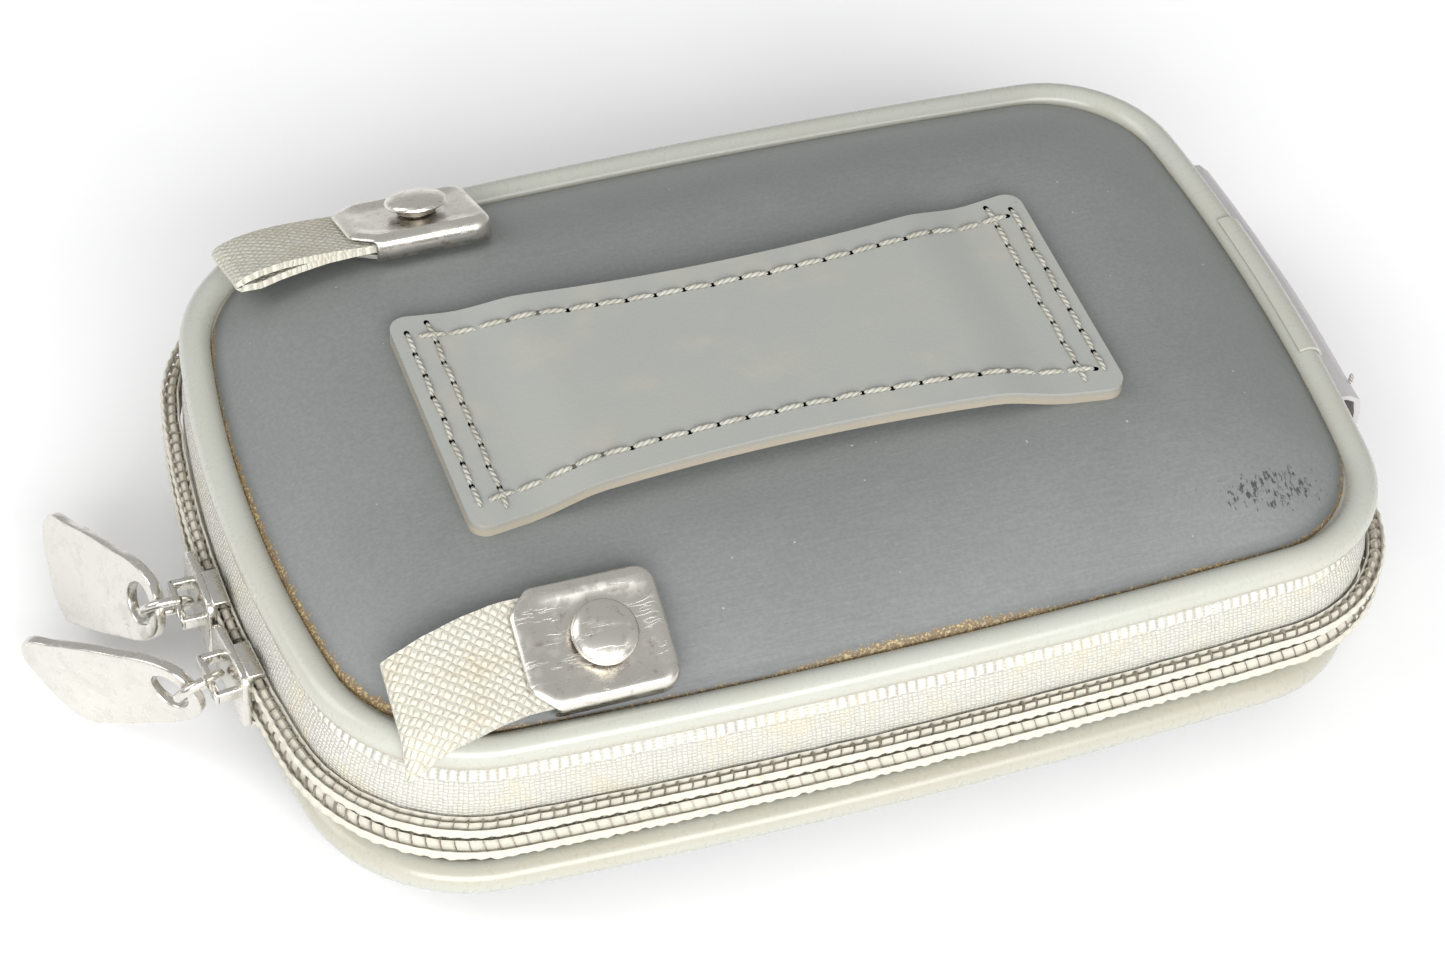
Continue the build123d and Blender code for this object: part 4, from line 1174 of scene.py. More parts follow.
@dataclass
class ZipperHalf:
    """One half of the zipper: tape, coil and the two lines of thread that hold the coil."""

    half: Half
    tape: float = 0.6
    pitch: float = 1.5
    wire: float = 0.5
    slant: float = 0.3
    coil_inset: float = -1.175
    coil_span: tuple[float, float] = (0.02, 3.0)
    open_from: float = 0.78
    tape_rows: tuple[tuple[float, float], ...] = (
        (7.7, 27.85), (5.0, 27.85), (3.4, 27.1), (2.3, 26.0), (1.5, 24.9), (0.9, 23.6), (0.4, 22.3),
        (0.1, 21.2),
        (0.05, 19.9), (0.05, 18.4))

    def build_tape(self) -> bmesh.types.BMesh:
        """The tape from the seam to the chain, cut away under the hinge strip."""
        bm = rim_sweep([Row(*row) for row in self.tape_rows], False, 2.4)
        cut_stretch(bm, 1, (STRIP_SPAN[0] + 4.0, STRIP_SPAN[1] - 4.0), False)
        thicken(bm, self.tape)
        return for_half(bm, self.half)

    def turn(self) -> bpy.types.Mesh:
        """One turn of the coil: a flattened ring of round wire, leaning along the chain."""
        bm = bmesh.new()
        ring = 0.8
        section = Matrix.Translation((ring, 0, 0)) @ Matrix.Rotation(math.pi / 2, 4, "X")
        bmesh.ops.create_circle(bm, segments=6, radius=self.wire, matrix=section)
        bmesh.ops.spin(bm, geom=bm.verts[:] + bm.edges[:], cent=(0, 0, 0), axis=(0, 1, 0), angle=2 * math.pi,
                       steps=10, use_merge=True)
        bmesh.ops.remove_doubles(bm, verts=bm.verts, dist=1e-4)
        bmesh.ops.recalc_face_normals(bm, faces=bm.faces)
        tall = (self.coil_span[1] - self.coil_span[0]) / (2 * (ring + self.wire))
        bmesh.ops.scale(bm, vec=(0.88 / (ring + self.wire), 1.0, tall), verts=bm.verts)
        for vertex in bm.verts:
            vertex.co.y += self.slant * vertex.co.z
        return template(bm)

    def build_coil(self) -> bmesh.types.BMesh:
        """Every turn of the coil, parted where the sliders travel."""
        bm = bmesh.new()
        source = self.turn()
        count = 2 * round(OUTLINE.perimeter() / self.pitch / 2)
        middle = MIDDLE + sum(self.coil_span) / 2
        for number, (point, outward) in enumerate(OUTLINE.stations(self.coil_inset, 2 * count)):
            if number % 2 != (self.half is Half.UPPER):
                continue
            if point.x > 0 and STRIP_SPAN[0] - 1 < point.y < STRIP_SPAN[1] + 1:
                continue
            parted = point.x < 0 and abs(point.y) < SLIDER_SPAN
            squash = ((self.coil_span[1] - self.open_from) / (self.coil_span[1] - self.coil_span[0])
                      if parted else 1.0)
            height = middle if not parted else MIDDLE + (self.coil_span[1] + self.open_from) / 2
            turned = Matrix.Rotation(math.atan2(outward.y, outward.x), 4, "Z")
            place = Matrix.Translation((*point, height)) @ turned @ Matrix.Diagonal((1, 1, squash, 1))
            add_copy(bm, source, place)
        return for_half(bm, self.half)

    def build_threads(self) -> bmesh.types.BMesh:
        """The lumpy cords of sewing thread over the coil's legs and the filler cord inside its turns."""
        bm = self._cord(-2.1, 1.85, (0.24, 0.6), 0.42)
        for inset, height, radii in ((-0.42, 1.9, (0.16, 0.7)), (self.coil_inset, 1.52, (0.45, 1.0))):
            add_copy(bm, template(self._cord(inset, height, radii, 2.4)), Matrix.Identity(4))
        return for_half(bm, self.half)

    def _cord(self, inset: float, height: float, radii: tuple[float, float],
              spacing: float) -> bmesh.types.BMesh:
        """One cord of thread that swells over each turn of the coil."""
        rows = []
        for step in range(8):
            angle = 2 * math.pi * step / 8
            rows.append(Row(inset - radii[0] * math.cos(angle), MIDDLE + height + radii[1] * math.sin(angle)))
        bm = rim_sweep(rows, True, spacing)
        along = bm.verts.layers.float["along"]
        for vertex in bm.verts:
            swell = math.sin(2 * math.pi * vertex[along] / self.pitch)
            drift = noise.noise(Vector((vertex[along] * 0.9, vertex.co.z * 0.6, 0.0)))
            parting = 1.0 if vertex.co.x < 0 and abs(vertex.co.y) < SLIDER_SPAN else 0.0
            level = vertex.co.z - MIDDLE - height
            vertex.co.z = MIDDLE + height + level * (1 + 0.12 * swell + 0.2 * drift) * (1 - 0.25 * parting)
            vertex.co.z += 0.08 * drift + 0.22 * parting
            push = Vector((vertex.co.x, vertex.co.y)).normalized() * (0.07 * swell + 0.10 * drift)
            vertex.co.x += push.x
            vertex.co.y += push.y
        cut_stretch(bm, 1, (STRIP_SPAN[0] - 0.6, STRIP_SPAN[1] + 0.6), False)
        close_holes(bm)
        return bm

    def dress(self) -> None:
        """Makes the tape, the coil and its threads."""
        body, prefix = self.half.value, self.half.prefix
        tape = finished(f"{prefix}_woven_tape", self.build_tape(),
                        Trim(body, "zip_tape", [TAPE], (f"{prefix}_zip_tape",), 50.0))
        coil = finished(f"{prefix}_coil_turns", self.build_coil(),
                        Trim(body, "zip_coil", [COIL], (f"{prefix}_zip_coil",), 60.0))
        threads = finished(f"{prefix}_coil_threads", self.build_threads(),
                           Trim(body, "zip_tape", [CORD], (), 60.0))
        log.info("zipper half of %s, %s and %s", tape.name, coil.name, threads.name)


@dataclass
class Hinge:
    """The vinyl strip over the fold and the fabric inside it, both in one piece across both halves."""

    strip: float = 0.8
    lining: float = 0.5
    strip_rows: tuple[tuple[float, float], ...] = (
        (1.7, 26.0), (0.6, 26.1), (-0.7, 26.5), (-2.6, 26.2), (-3.9, 24.9), (-4.3, 22.8), (-4.1, 20.6),
        (-3.9, 18.6))
    lining_rows: tuple[tuple[float, float], ...] = (
        (7.7, 26.6), (6.2, 26.4), (4.3, 24.6), (2.9, 22.6), (2.3, 20.6), (2.1, 18.9))
    stitches_y: float = -12.6
    strip_bend: float = 2.6
    lining_bend: float = 6.0

    @staticmethod
    def both_ways(rows: Sequence[tuple[float, float]]) -> list[Row]:
        """Rows of the upper half, the fold, and their mirror images."""
        lower = [(inset, 2 * MIDDLE - height) for inset, height in reversed(rows)]
        return [Row(*row) for row in (*rows, (rows[-1][0], MIDDLE), *lower)]

    def build_strip(self) -> bmesh.types.BMesh:
        """The strip, with its near end curling off the rim, and its cross stitches."""
        bm = rim_sweep(self.both_ways(self.strip_rows), False, 1.6)
        cut_stretch(bm, 1, STRIP_SPAN, True)
        thicken(bm, self.strip)
        for vertex in bm.verts:
            loose = max(0.0, (-12.0 - vertex.co.y) / 4.0)
            near_fold = max(0.0, 1 - abs(vertex.co.z - MIDDLE) / 8.5)
            vertex.co.x += 0.55 * loose ** 2 * near_fold
            vertex.co.z += 0.25 * math.sin(1.3 * (vertex.co.z - MIDDLE)) * loose
            vertex.co.x += 0.12 * noise.noise(vertex.co * 0.25)
        sewn = new_mesh()
        stitch = template(tube(0.3, 1.7, 8, 4, 0.1))
        upright = Matrix.Rotation(math.pi / 2, 4, "Y")
        for number in range(7):
            height = MIDDLE + (number - 3) * 2.3
            row = min(self.both_ways(self.strip_rows), key=lambda r, z=height: abs(r.height - z))
            add_copy(sewn, stitch,
                     Matrix.Translation((LENGTH / 2 - row.inset + 0.02, self.stitches_y, height)) @ upright)
        for face in sewn.faces:
            face.material_index = 1
        add_copy(sewn, template(bm), Matrix.Identity(4))
        return sewn

    def build_lining(self) -> bmesh.types.BMesh:
        """The fabric that closes the hinge inside."""
        bm = rim_sweep(self.both_ways(self.lining_rows), False, 2.4)
        cut_stretch(bm, 1, (STRIP_SPAN[0] + 2.0, STRIP_SPAN[1] - 2.0), True)
        thicken(bm, self.lining)
        return bm

    def dress(self) -> None:
        """Makes both pieces and bends each of them over the fold."""
        strip = finished("hinge_outer_strip", self.build_strip(),
                         Trim(None, "hinge_vinyl", [HINGE, THREAD],
                              ("upper_hinge_strip", "lower_hinge_strip"), 50.0))
        rounded(strip, 0.15)
        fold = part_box("upper_hinge_strip")[1][0]
        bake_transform(strip, "base", "lid", start=(fold, 0, (MIDDLE - self.strip_bend) * MM),
                 end=(fold, 0, (MIDDLE + self.strip_bend) * MM))
        lining = finished("hinge_inner_fabric", self.build_lining(),
                          Trim(None, "lining", [LINING], ("upper_hinge_lining", "lower_hinge_lining"), 50.0))
        inside = fold - 4.5 * MM
        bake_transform(lining, "base", "lid", start=(inside, 0, (MIDDLE - self.lining_bend) * MM),
                 end=(inside, 0, (MIDDLE + self.lining_bend) * MM))


@dataclass
class BeltLoop:
    """The belt loop of two leather layers with its stitching."""

    centre: tuple[float, float] = (-2.4, -0.8)
    length: float = 76.4
    width: float = 33.5
    waist: float = 27.5
    corner: float = 3.0
    face: float = 0.9
    backing: float = 0.8
    pad: float = 6.5
    ramp: float = 9.0
    gap: float = 1.4
    margin: float = 1.7
    inner_row: float = 4.4
    pitch: float = 3.4
    edge_steps: tuple[tuple[float, float, float], ...] = (
        (0.22, 1.0, 0.42), (0.3, 0.8, 0.2), (0.4, 0.5, 0.07), (0.5, 0.2, 0.0), (0.6, 0.0, 0.06),
        (0.5, 0.0, 0.02))

    def side_radius(self, margin: float = 0.0) -> float:
        """Radius of the waisted sides, at a margin inside them."""
        return Outline.bow_radius(self.length / 2, (self.width - self.waist) / 2) + margin

    def height(self, x: float) -> float:
        """Height of the loop's underside over the crown, at a distance from its middle."""
        flat = self.length / 2 - self.pad
        share = min(1.0, max(0.0, (flat - abs(x)) / self.ramp))
        return self.gap * share * share * (3 - 2 * share)

    def plan(self) -> bmesh.types.BMesh:
        """The loop's flat outline as one face."""
        bm = bmesh.new()
        radius, half = self.side_radius(), self.length / 2
        turn = 2 * math.asin(half / radius)
        for side in (1, -1):
            first = bm.verts.new((side * half, side * self.width / 2, 0))
            bmesh.ops.spin(bm, geom=[first], cent=(0, side * (self.waist / 2 + radius), 0), axis=UP,
                           angle=-turn,
                           steps=28, use_merge=False)
        bm.verts.ensure_lookup_table()
        bmesh.ops.contextual_create(bm, geom=bm.verts[:])
        corners = [vertex for vertex in bm.verts if abs(abs(vertex.co.x) - half) < 1e-3]
        bmesh.ops.bevel(bm, geom=corners, offset=self.corner * 0.8, segments=7, profile=0.5,
                        affect="VERTICES",
                        material=-1)
        bmesh.ops.recalc_face_normals(bm, faces=bm.faces)
        return bm

    def layer(self, bottom: float, thickness: float, crowned: bool) -> bmesh.types.BMesh:
        """One layer, raised between its sewn ends.

        Args:
            bottom: height of its underside over the crown at the ends.
            thickness: of the leather.
            crowned: whether its rim is rounded over and pressed in along the stitches.

        Returns:
            The closed mesh with its "edge" attribute.
        """
        bm = self.plan()
        edge = bm.verts.layers.float.new("edge")
        sink = bm.verts.layers.float.new("sink")
        for vertex in bm.verts:
            vertex[edge], vertex[sink] = 1.0, 0.5 * thickness if crowned else 0.0
        if crowned:
            for width, rubbed, drop in self.edge_steps:
                bmesh.ops.inset_region(bm, faces=[max(bm.faces, key=lambda f: f.calc_area())],
                                       thickness=width,
                                       use_even_offset=True)
                bm.verts.ensure_lookup_table()
                for vertex in max(bm.faces, key=lambda f: f.calc_area()).verts:
                    vertex[edge], vertex[sink] = rubbed, drop
        stations = [step * 1.5 for step in range(-25, 26)]
        for x in stations:
            bmesh.ops.bisect_plane(bm, geom=bm.verts[:] + bm.edges[:] + bm.faces[:], plane_co=(x, 0, 0),
                                   plane_no=(1, 0, 0), dist=1e-4)
        grown = bmesh.ops.extrude_face_region(bm, geom=bm.faces[:])
        upper = {item for item in grown["geom"] if isinstance(item, bmesh.types.BMVert)}
        for vertex in bm.verts:
            level = self.height(vertex.co.x) + bottom
            vertex.co.z = level + thickness - vertex[sink] if vertex in upper else level
            if vertex not in upper:
                vertex[edge] = 1.0
        bmesh.ops.recalc_face_normals(bm, faces=bm.faces)
        move(bm, Matrix.Translation((*self.centre, THICKNESS)))
        return bm

    def places(self) -> Iterator[tuple[float, float, float]]:
        """Middle and turn of every stitch: a round of the rim and a row across inside each end."""
        half = self.length / 2
        radius = self.side_radius(self.margin)
        reach = half - self.margin - 0.9
        count = round(2 * reach / self.pitch)
        for side in (1, -1):
            for number in range(count):
                x = -reach + 2 * reach * (number + 0.5) / count
                y = self.waist / 2 + radius - self.margin * 2 - math.sqrt(radius ** 2 - x ** 2)
                yield x, side * y, side * math.asin(x / radius)
        for row, spare in ((half - self.margin, 1.2), (half - self.inner_row, 0.3)):
            wide = self.width / 2 - self.margin - spare
            count = round(2 * wide / self.pitch)
            for side in (1, -1):
                for number in range(count):
                    yield side * row, -wide + 2 * wide * (number + 0.5) / count, math.pi / 2

    def build_stitches(self) -> bmesh.types.BMesh:
        """Every stitch with the needle holes at its ends."""
        bm = new_mesh()
        stitch = template(tube(0.29, self.pitch * 0.9, 8, 6, 0.1))
        dot = bmesh.new()
        bmesh.ops.create_circle(dot, segments=10, radius=0.42, cap_ends=True)
        hole = template(dot)
        top = self.face + self.backing
        holes = []
        for number, (x, y, turn) in enumerate(self.places()):
            slope = (self.height(abs(x) + 0.5) - self.height(abs(x) - 0.5)) * (1 if x > 0 else -1)
            lift = self.height(x) + top
            lean = turn + 0.06 * math.sin(2.7 * number)
            tilt = Matrix.Rotation(-math.atan(slope) * math.cos(turn), 4, "Y")
            place = Matrix.Translation((x, y, lift)) @ Matrix.Rotation(lean, 4, "Z") @ tilt
            add_copy(bm, stitch, place @ Matrix.Translation((0, 0, 0.06)))
            half = Matrix.Translation((self.pitch / 2, 0, -0.02)) @ Matrix.Diagonal((1.0, 0.8, 1.0, 1.0))
            holes.append(place @ half)
        faces = len(bm.faces)
        for place in holes:
            add_copy(bm, hole, place)
        bm.faces.ensure_lookup_table()
        for face in bm.faces[faces:]:
            face.material_index = 1
        move(bm, Matrix.Translation((*self.centre, THICKNESS)))
        return bm

    def dress(self) -> None:
        """Makes both layers and the stitching."""
        finished("loop_backing_leather", self.layer(0.0, self.backing, False),
                 Trim("lid", "loop_backing_leather", [BACKING], ("belt_loop_backing",), 40.0))
        finished("loop_face_leather", self.layer(self.backing, self.face, True),
                 Trim("lid", "loop_leather", [LEATHER], ("belt_loop_face",), 60.0))
        finished("loop_stitching", self.build_stitches(),
                 Trim("lid", "loop_thread", [THREAD, HOLE], ("belt_loop_stitches",), 60.0))


@dataclass
class StrapAnchor:
    """A webbing tab held by a pressed nickel clip and a rivet."""

    side: Side
    at: tuple[float, float] = (-31.5, 32.5)
    back: float = 7.3
    front: float = 9.2
    width: float = 13.8
    height: float = 2.9
    sheet: float = 0.6
    corner: float = 2.2
    chamfer: float = 2.6
    neck: float = 4.6
    neck_height: float = 0.7
    cap: float = 7.3
    cap_height: float = 1.4
    webbing: float = 0.9
    webbing_width: float = 12.3
    reach: float = 14.1
    rim: float = 1.15

    def place(self) -> Matrix:
        """Frame of the anchor: X along the pouch, Z square to the crown."""
        centre, radius = OUTLINE.circle("side")
        x, y = self.at
        inset = radius - math.hypot(x - centre.x, y - centre.y)
        slope = math.asin((SEAM_INSET + CROWN_WIDTH - inset) / CROWN_RADIUS)
        level = THICKNESS - CROWN_RADIUS + CROWN_RADIUS * math.cos(slope)
        sign = self.side.value
        return (Matrix.Translation((x, sign * y, level)) @ Matrix.Rotation(-sign * slope, 4, "X")
                @ Matrix.Translation((0, 0, 0.1)))

    def build_cover(self) -> bmesh.types.BMesh:
        """The pressed cover: a rolled rim, a sunk middle, and walls open at the strap's mouth."""
        bm = bmesh.new()
        front, back, y, cut = -self.front, self.back, self.width / 2, self.chamfer
        corners = [(front, cut - y), (front + cut, -y), (back, -y), (back, y), (front + cut, y),
                   (front, y - cut)]
        verts = [bm.verts.new((*corner, self.height)) for corner in corners]
        bmesh.ops.contextual_create(bm, geom=verts)
        for chosen, offset, segments in ((verts[2:4], self.corner, 6), (verts[:2] + verts[4:], 0.6, 3)):
            bmesh.ops.bevel(bm, geom=chosen, offset=offset, segments=segments, profile=0.5, affect="VERTICES",
                            material=-1)
        bmesh.ops.recalc_face_normals(bm, faces=bm.faces)
        border = [edge for edge in bm.edges if edge.is_boundary]
        walls = bmesh.ops.extrude_edge_only(bm, edges=border)["geom"]
        low = [item for item in walls if isinstance(item, bmesh.types.BMVert)]
        bmesh.ops.translate(bm, vec=(0, 0, -self.height + 0.05), verts=low)
        bmesh.ops.bevel(bm, geom=border, offset=self.rim, segments=7, profile=0.5, affect="EDGES",
                        material=-1)
        self._sink(bm)
        doomed = [face for face in bm.faces if face.calc_center_median().x < front + cut * 0.9
                  and face.calc_center_median().z < self.height - 1.2]
        bmesh.ops.delete(bm, geom=doomed, context="FACES")
        lip = self.height - self.rim
        for vertex in bm.verts:
            if lip - 0.05 < vertex.co.z:
                near_mouth = min(1.0, max(0.0, (front + cut + 0.8 - vertex.co.x) / 1.2))
                vertex.co.z += near_mouth * 0.6 * (self.height - vertex.co.z) / self.rim
        move(bm, self.place())
        return bm

    @staticmethod
    def _sink(bm: bmesh.types.BMesh) -> None:
        """Presses the middle of the cover's top in, by a depth that grows with the distance from its rim."""
        top = max(bm.faces, key=lambda f: (f.calc_center_median().z > 1) * f.calc_area())
        rim = [(edge.verts[0].co.copy(), edge.verts[1].co.copy()) for edge in top.edges]
        parts = [top, *top.edges, *top.verts]
        for axis in range(2):
            for step in range(-14, 15):
                at, normal = Vector((0, 0, 0)), Vector((0, 0, 0))
                at[axis], normal[axis] = 0.62 * step, 1.0
                parts = bmesh.ops.bisect_plane(bm, geom=parts, plane_co=at, plane_no=normal,
                                               dist=1e-4)["geom"]
        for vertex in {part for part in parts if isinstance(part, bmesh.types.BMVert)}:
            reach = min((vertex.co - intersect_point_line(vertex.co, *edge)[0]).length for edge in rim)
            share = min(1.0, reach / 1.7)
            vertex.co.z -= 0.34 * share * share * (3 - 2 * share)

    def build_rivet(self) -> bmesh.types.BMesh:
        """The rivet: shank, neck and low domed cap, spun from its profile, with painted shade on the neck and
        under the cap.
        """
        low = self.height + self.neck_height
        cap = self.cap / 2
        profile = [(0.0, -4.6), (2.0, -4.6), (2.0, -4.1), (1.5, -4.0), (1.5, self.height - 0.2),
                   (self.neck / 2, self.height - 0.1), (self.neck / 2, low), (cap - 0.25, low),
                   (cap, low + 0.22),
                   (cap - 0.04, low + 0.5), (cap - 0.35, low + 0.78), (cap - 1.1, low + 1.06),
                   (cap - 2.2, low + 1.26), (0.0, low + self.cap_height)]
        bm = bmesh.new()
        verts = [bm.verts.new((r, 0, z)) for r, z in profile]
        edges = [bm.edges.new(pair) for pair in zip(verts, verts[1:])]
        bmesh.ops.spin(bm, geom=verts + edges, cent=(0, 0, 0), axis=UP, angle=2 * math.pi, steps=40,
                       use_merge=True)
        bmesh.ops.remove_doubles(bm, verts=bm.verts, dist=1e-4)
        bmesh.ops.recalc_face_normals(bm, faces=bm.faces)
        # painted shade: the shank, the neck and the cap's underside take the dark metal
        for face in bm.faces:
            middle = face.calc_center_median()
            if middle.z < low + 0.1:
                face.material_index = 1
        move(bm, self.place())
        return bm

    def build_webbing(self) -> bmesh.types.BMesh:
        """The strap folded back on itself, with an open eye at the fold and soft uneven edges."""
        base, layer = 0.5, self.webbing
        middle, mouth = base + layer, -self.front
        end = mouth - self.reach
        inside = self.back - 2.0
        line = [(inside, middle + layer / 2), (mouth + 1, middle + layer / 2),
                (mouth - 3, middle + layer / 2 + 0.25),
                (mouth - 8, middle + 0.9), (end + 3, middle + 0.85), (end + 1.0, middle + 0.5),
                (end + 0.15, middle),
                (end + 0.1, middle - 0.55), (end + 0.7, middle - 1.1), (end + 3, middle - 1.35),
                (mouth - 8, middle - 1.0), (mouth - 3, middle - layer / 2 - 0.1),
                (mouth + 1, middle - layer / 2),
                (inside, middle - layer / 2)]
        bm = new_mesh()
        along, across = bm.verts.layers.float["along"], bm.verts.layers.float["across"]
        verts, done = [], 0.0
        for number, (x, z) in enumerate(line):
            if number:
                done += math.hypot(x - line[number - 1][0], z - line[number - 1][1])
            vertex = bm.verts.new((x, -self.webbing_width / 2, z))
            vertex[along] = done
            verts.append(vertex)
        edges = [bm.edges.new(pair) for pair in zip(verts, verts[1:])]
        steps = 14
        for step in range(1, steps + 1):
            grown = bmesh.ops.extrude_edge_only(bm, edges=edges)["geom"]
            moved = [item for item in grown if isinstance(item, bmesh.types.BMVert)]
            edges = [item for item in grown if isinstance(item, bmesh.types.BMEdge)
                     and item.verts[0] in moved and item.verts[1] in moved]
            bmesh.ops.translate(bm, vec=(0, self.webbing_width / steps, 0), verts=moved)
            for vertex in moved:
                vertex[across] = self.webbing_width * step / steps
        lay_uv(bm, 1e6, 1e6)
        bmesh.ops.subdivide_edges(bm,
                edges=[e for e in bm.edges if abs(e.verts[0].co.x - e.verts[1].co.x) > 1.5],
                                  cuts=2, use_grid_fill=True)
        bmesh.ops.recalc_face_normals(bm, faces=bm.faces)
        for vertex in bm.verts:
            out = max(0.0, (mouth - vertex.co.x) / self.reach)
            vertex.co.z -= out ** 2
            vertex.co.z += 0.3 * out * noise.noise(Vector((vertex.co.x * 0.16, vertex.co.y * 0.16,
                                                           self.side.value)))
            if abs(abs(vertex.co.y) - self.webbing_width / 2) < 0.01:
                vertex.co.y += 0.12 * noise.noise(Vector((vertex.co.x * 1.9, vertex.co.z * 1.9, 3.0)))
            if self.side is Side.NEAR:
                vertex.co.y -= 3.2 * out ** 1.4
                vertex.co.z -= 0.35 * out * max(0.0, -5.2 - vertex.co.y) ** 1.5
        thicken(bm, layer * 0.85)
        move(bm, self.place())
        return bm

    def dress(self) -> None:
        """Makes the cover, rivet and webbing and gives the base and washer their material."""
        prefix = self.side.prefix
        cover = finished(f"{prefix}_clip_pressing", self.build_cover(),
                         Trim("lid", "nickel", [NICKEL], (f"{prefix}_clip_cover",), 50.0))
        walled(cover, self.sheet * 0.8)
        finished(f"{prefix}_rivet_turned", self.build_rivet(),
                 Trim("lid", "nickel", [NICKEL, DARK_METAL], (f"{prefix}_rivet",), 40.0))
        finished(f"{prefix}_webbing_loop", self.build_webbing(),
                 Trim("lid", "webbing", [WEBBING], (f"{prefix}_webbing_tab",), 60.0))
        coat(f"{prefix}_clip_base", NICKEL)
        coat(f"{prefix}_rivet_washer", NICKEL)


# dark metal that paints the shade on the rivet's neck and under its cap
DARK_METAL = Nickel("neck in painted shade", (0.30, 0.27, 0.22), 0.45, metallic=1.0).material()


@dataclass
class Fastener:
    """A slider with its link and pull."""

    side: Side
    along: float
    aim: Vector
    rise: Vector
    coil_out: float = 2.05
    plate: float = 1.0
    length: float = 10.5
    width: float = 8.5
    tail: float = 6.6
    wire: float = 1.1
    bridge: float = 5.6
    bridge_gap: float = 1.5
    link_inside: float = 4.1
    pull_length: float = 24.0
    pull_root: float = 7.0
    pull_width: float = 12.6
    pull_thickness: float = 1.3
    pull_rim: float = 1.5
    hole: tuple[float, float] = (4.6, 4.8)
    outward: Vector = field(init=False)
    chain: Vector = field(init=False)
    seat: Vector = field(init=False)

    def __post_init__(self) -> None:
        """Finds the slider's place on the zip end."""
        centre, radius = OUTLINE.circle("zip")
        x = centre.x - math.sqrt(radius ** 2 - self.along ** 2)
        self.outward = Vector((x - centre.x, self.along, 0.0)).normalized()
        self.chain = UP.cross(self.outward)
        self.seat = Vector((x, self.along, MIDDLE))

    @property
    def plate_in(self) -> float:
        """Distance from the rim line to the outer plate."""
        return self.coil_out + 0.25

    @property
    def bridge_out(self) -> float:
        """Distance from the rim line to the bridge's wire."""
        return self.plate_in + self.plate + self.bridge_gap + self.wire / 2

    def frame(self) -> Matrix:
        """The slider's frame: X outwards, Y along the chain, Z up."""
        return Matrix((self.outward, self.chain, UP)).transposed().to_4x4()

    def slab(self, bm: bmesh.types.BMesh, low: tuple, high: tuple, bevel: float) -> None:
        """Adds a block between two corners with softened edges."""
        size = [b - a for a, b in zip(low, high)]
        middle = [(a + b) / 2 for a, b in zip(low, high)]
        made = bmesh.ops.create_cube(bm, size=1.0,
                                     matrix=Matrix.Translation(middle) @ Matrix.Diagonal((*size, 1)))
        edges = list({edge for vertex in made["verts"] for edge in vertex.link_edges})
        bmesh.ops.bevel(bm, geom=edges, offset=bevel, segments=3, profile=0.5, affect="EDGES", material=-1)

    def build_slider(self) -> bmesh.types.BMesh:
        """Outer plate with side lips, inner plate, post and the raised bridge."""
        bm = bmesh.new()
        nose, half, tail = self.length / 2, self.width / 2, self.tail / 2
        outline = [(-nose, -tail), (0, -half), (nose, -half), (nose, half), (0, half), (-nose, tail)]
        verts = [bm.verts.new((self.plate_in, y, z)) for y, z in outline]
        bmesh.ops.contextual_create(bm, geom=verts)
        corners = [verts[0], verts[2], verts[3], verts[5]]
        bmesh.ops.bevel(bm, geom=corners, offset=1.6, segments=5, profile=0.5, affect="VERTICES", material=-1)
        grown = bmesh.ops.extrude_face_region(bm, geom=bm.faces[:])["geom"]
        raised = [item for item in grown if isinstance(item, bmesh.types.BMVert)]
        bmesh.ops.translate(bm, vec=(self.plate, 0, 0), verts=raised)
        bmesh.ops.recalc_face_normals(bm, faces=bm.faces)
        rims = [edge for edge in bm.edges if len(edge.link_faces) == 2 and edge.calc_face_angle() > 0.9]
        bmesh.ops.bevel(bm, geom=rims, offset=0.3, segments=3, profile=0.5, affect="EDGES", material=-1)
        lip, lip_in = 3.3, 0.6
        for sign in (1, -1):
            low, high = sorted((sign * lip, sign * half))
            self.slab(bm, (lip_in, -0.4, low), (self.plate_in + 0.3, nose - 0.5, high), 0.25)
        self.slab(bm, (-1.65, -nose + 0.4, -lip - 0.2), (-0.65, nose - 0.4, lip + 0.2), 0.3)
        self.slab(bm, (-0.8, nose * 0.3, -0.6), (self.plate_in + 0.2, nose * 0.8, 0.6), 0.1)
        self._bridge(bm)
        move(bm, Matrix.Translation(self.seat) @ self.frame())
        return bm

    def _bridge(self, bm: bmesh.types.BMesh) -> None:
        """Adds the bridge: two flat legs and the flat bar that carries the link."""
        reach, half, base = self.bridge / 2, 0.8, self.plate_in + self.plate - 0.2
        top = self.bridge_out + 0.5
        self.slab(bm, (top - 0.8, -reach - 0.4, -half), (top, reach + 0.4, half), 0.3)
        for sign in (1, -1):
            low, high = sorted((sign * (reach - 0.4), sign * (reach + 0.4)))
            self.slab(bm, (base, low, -half), (top - 0.1, high, half), 0.25)

    def link_frame(self) -> tuple[Vector, Vector, Vector]:
        """Centre, normal and outward direction of the link."""
        outward = self.rise.cross(self.chain).normalized()
        if outward.dot(self.outward) < 0:
            outward = -outward
        upward = self.chain if self.chain.dot(self.rise) > 0 else -self.chain
        normal = (upward + self.rise.normalized()).normalized()
        bridge = self.seat + self.outward * self.bridge_out
        return bridge + outward * (self.link_inside / 2 - 0.15 - self.wire / 2), normal, outward

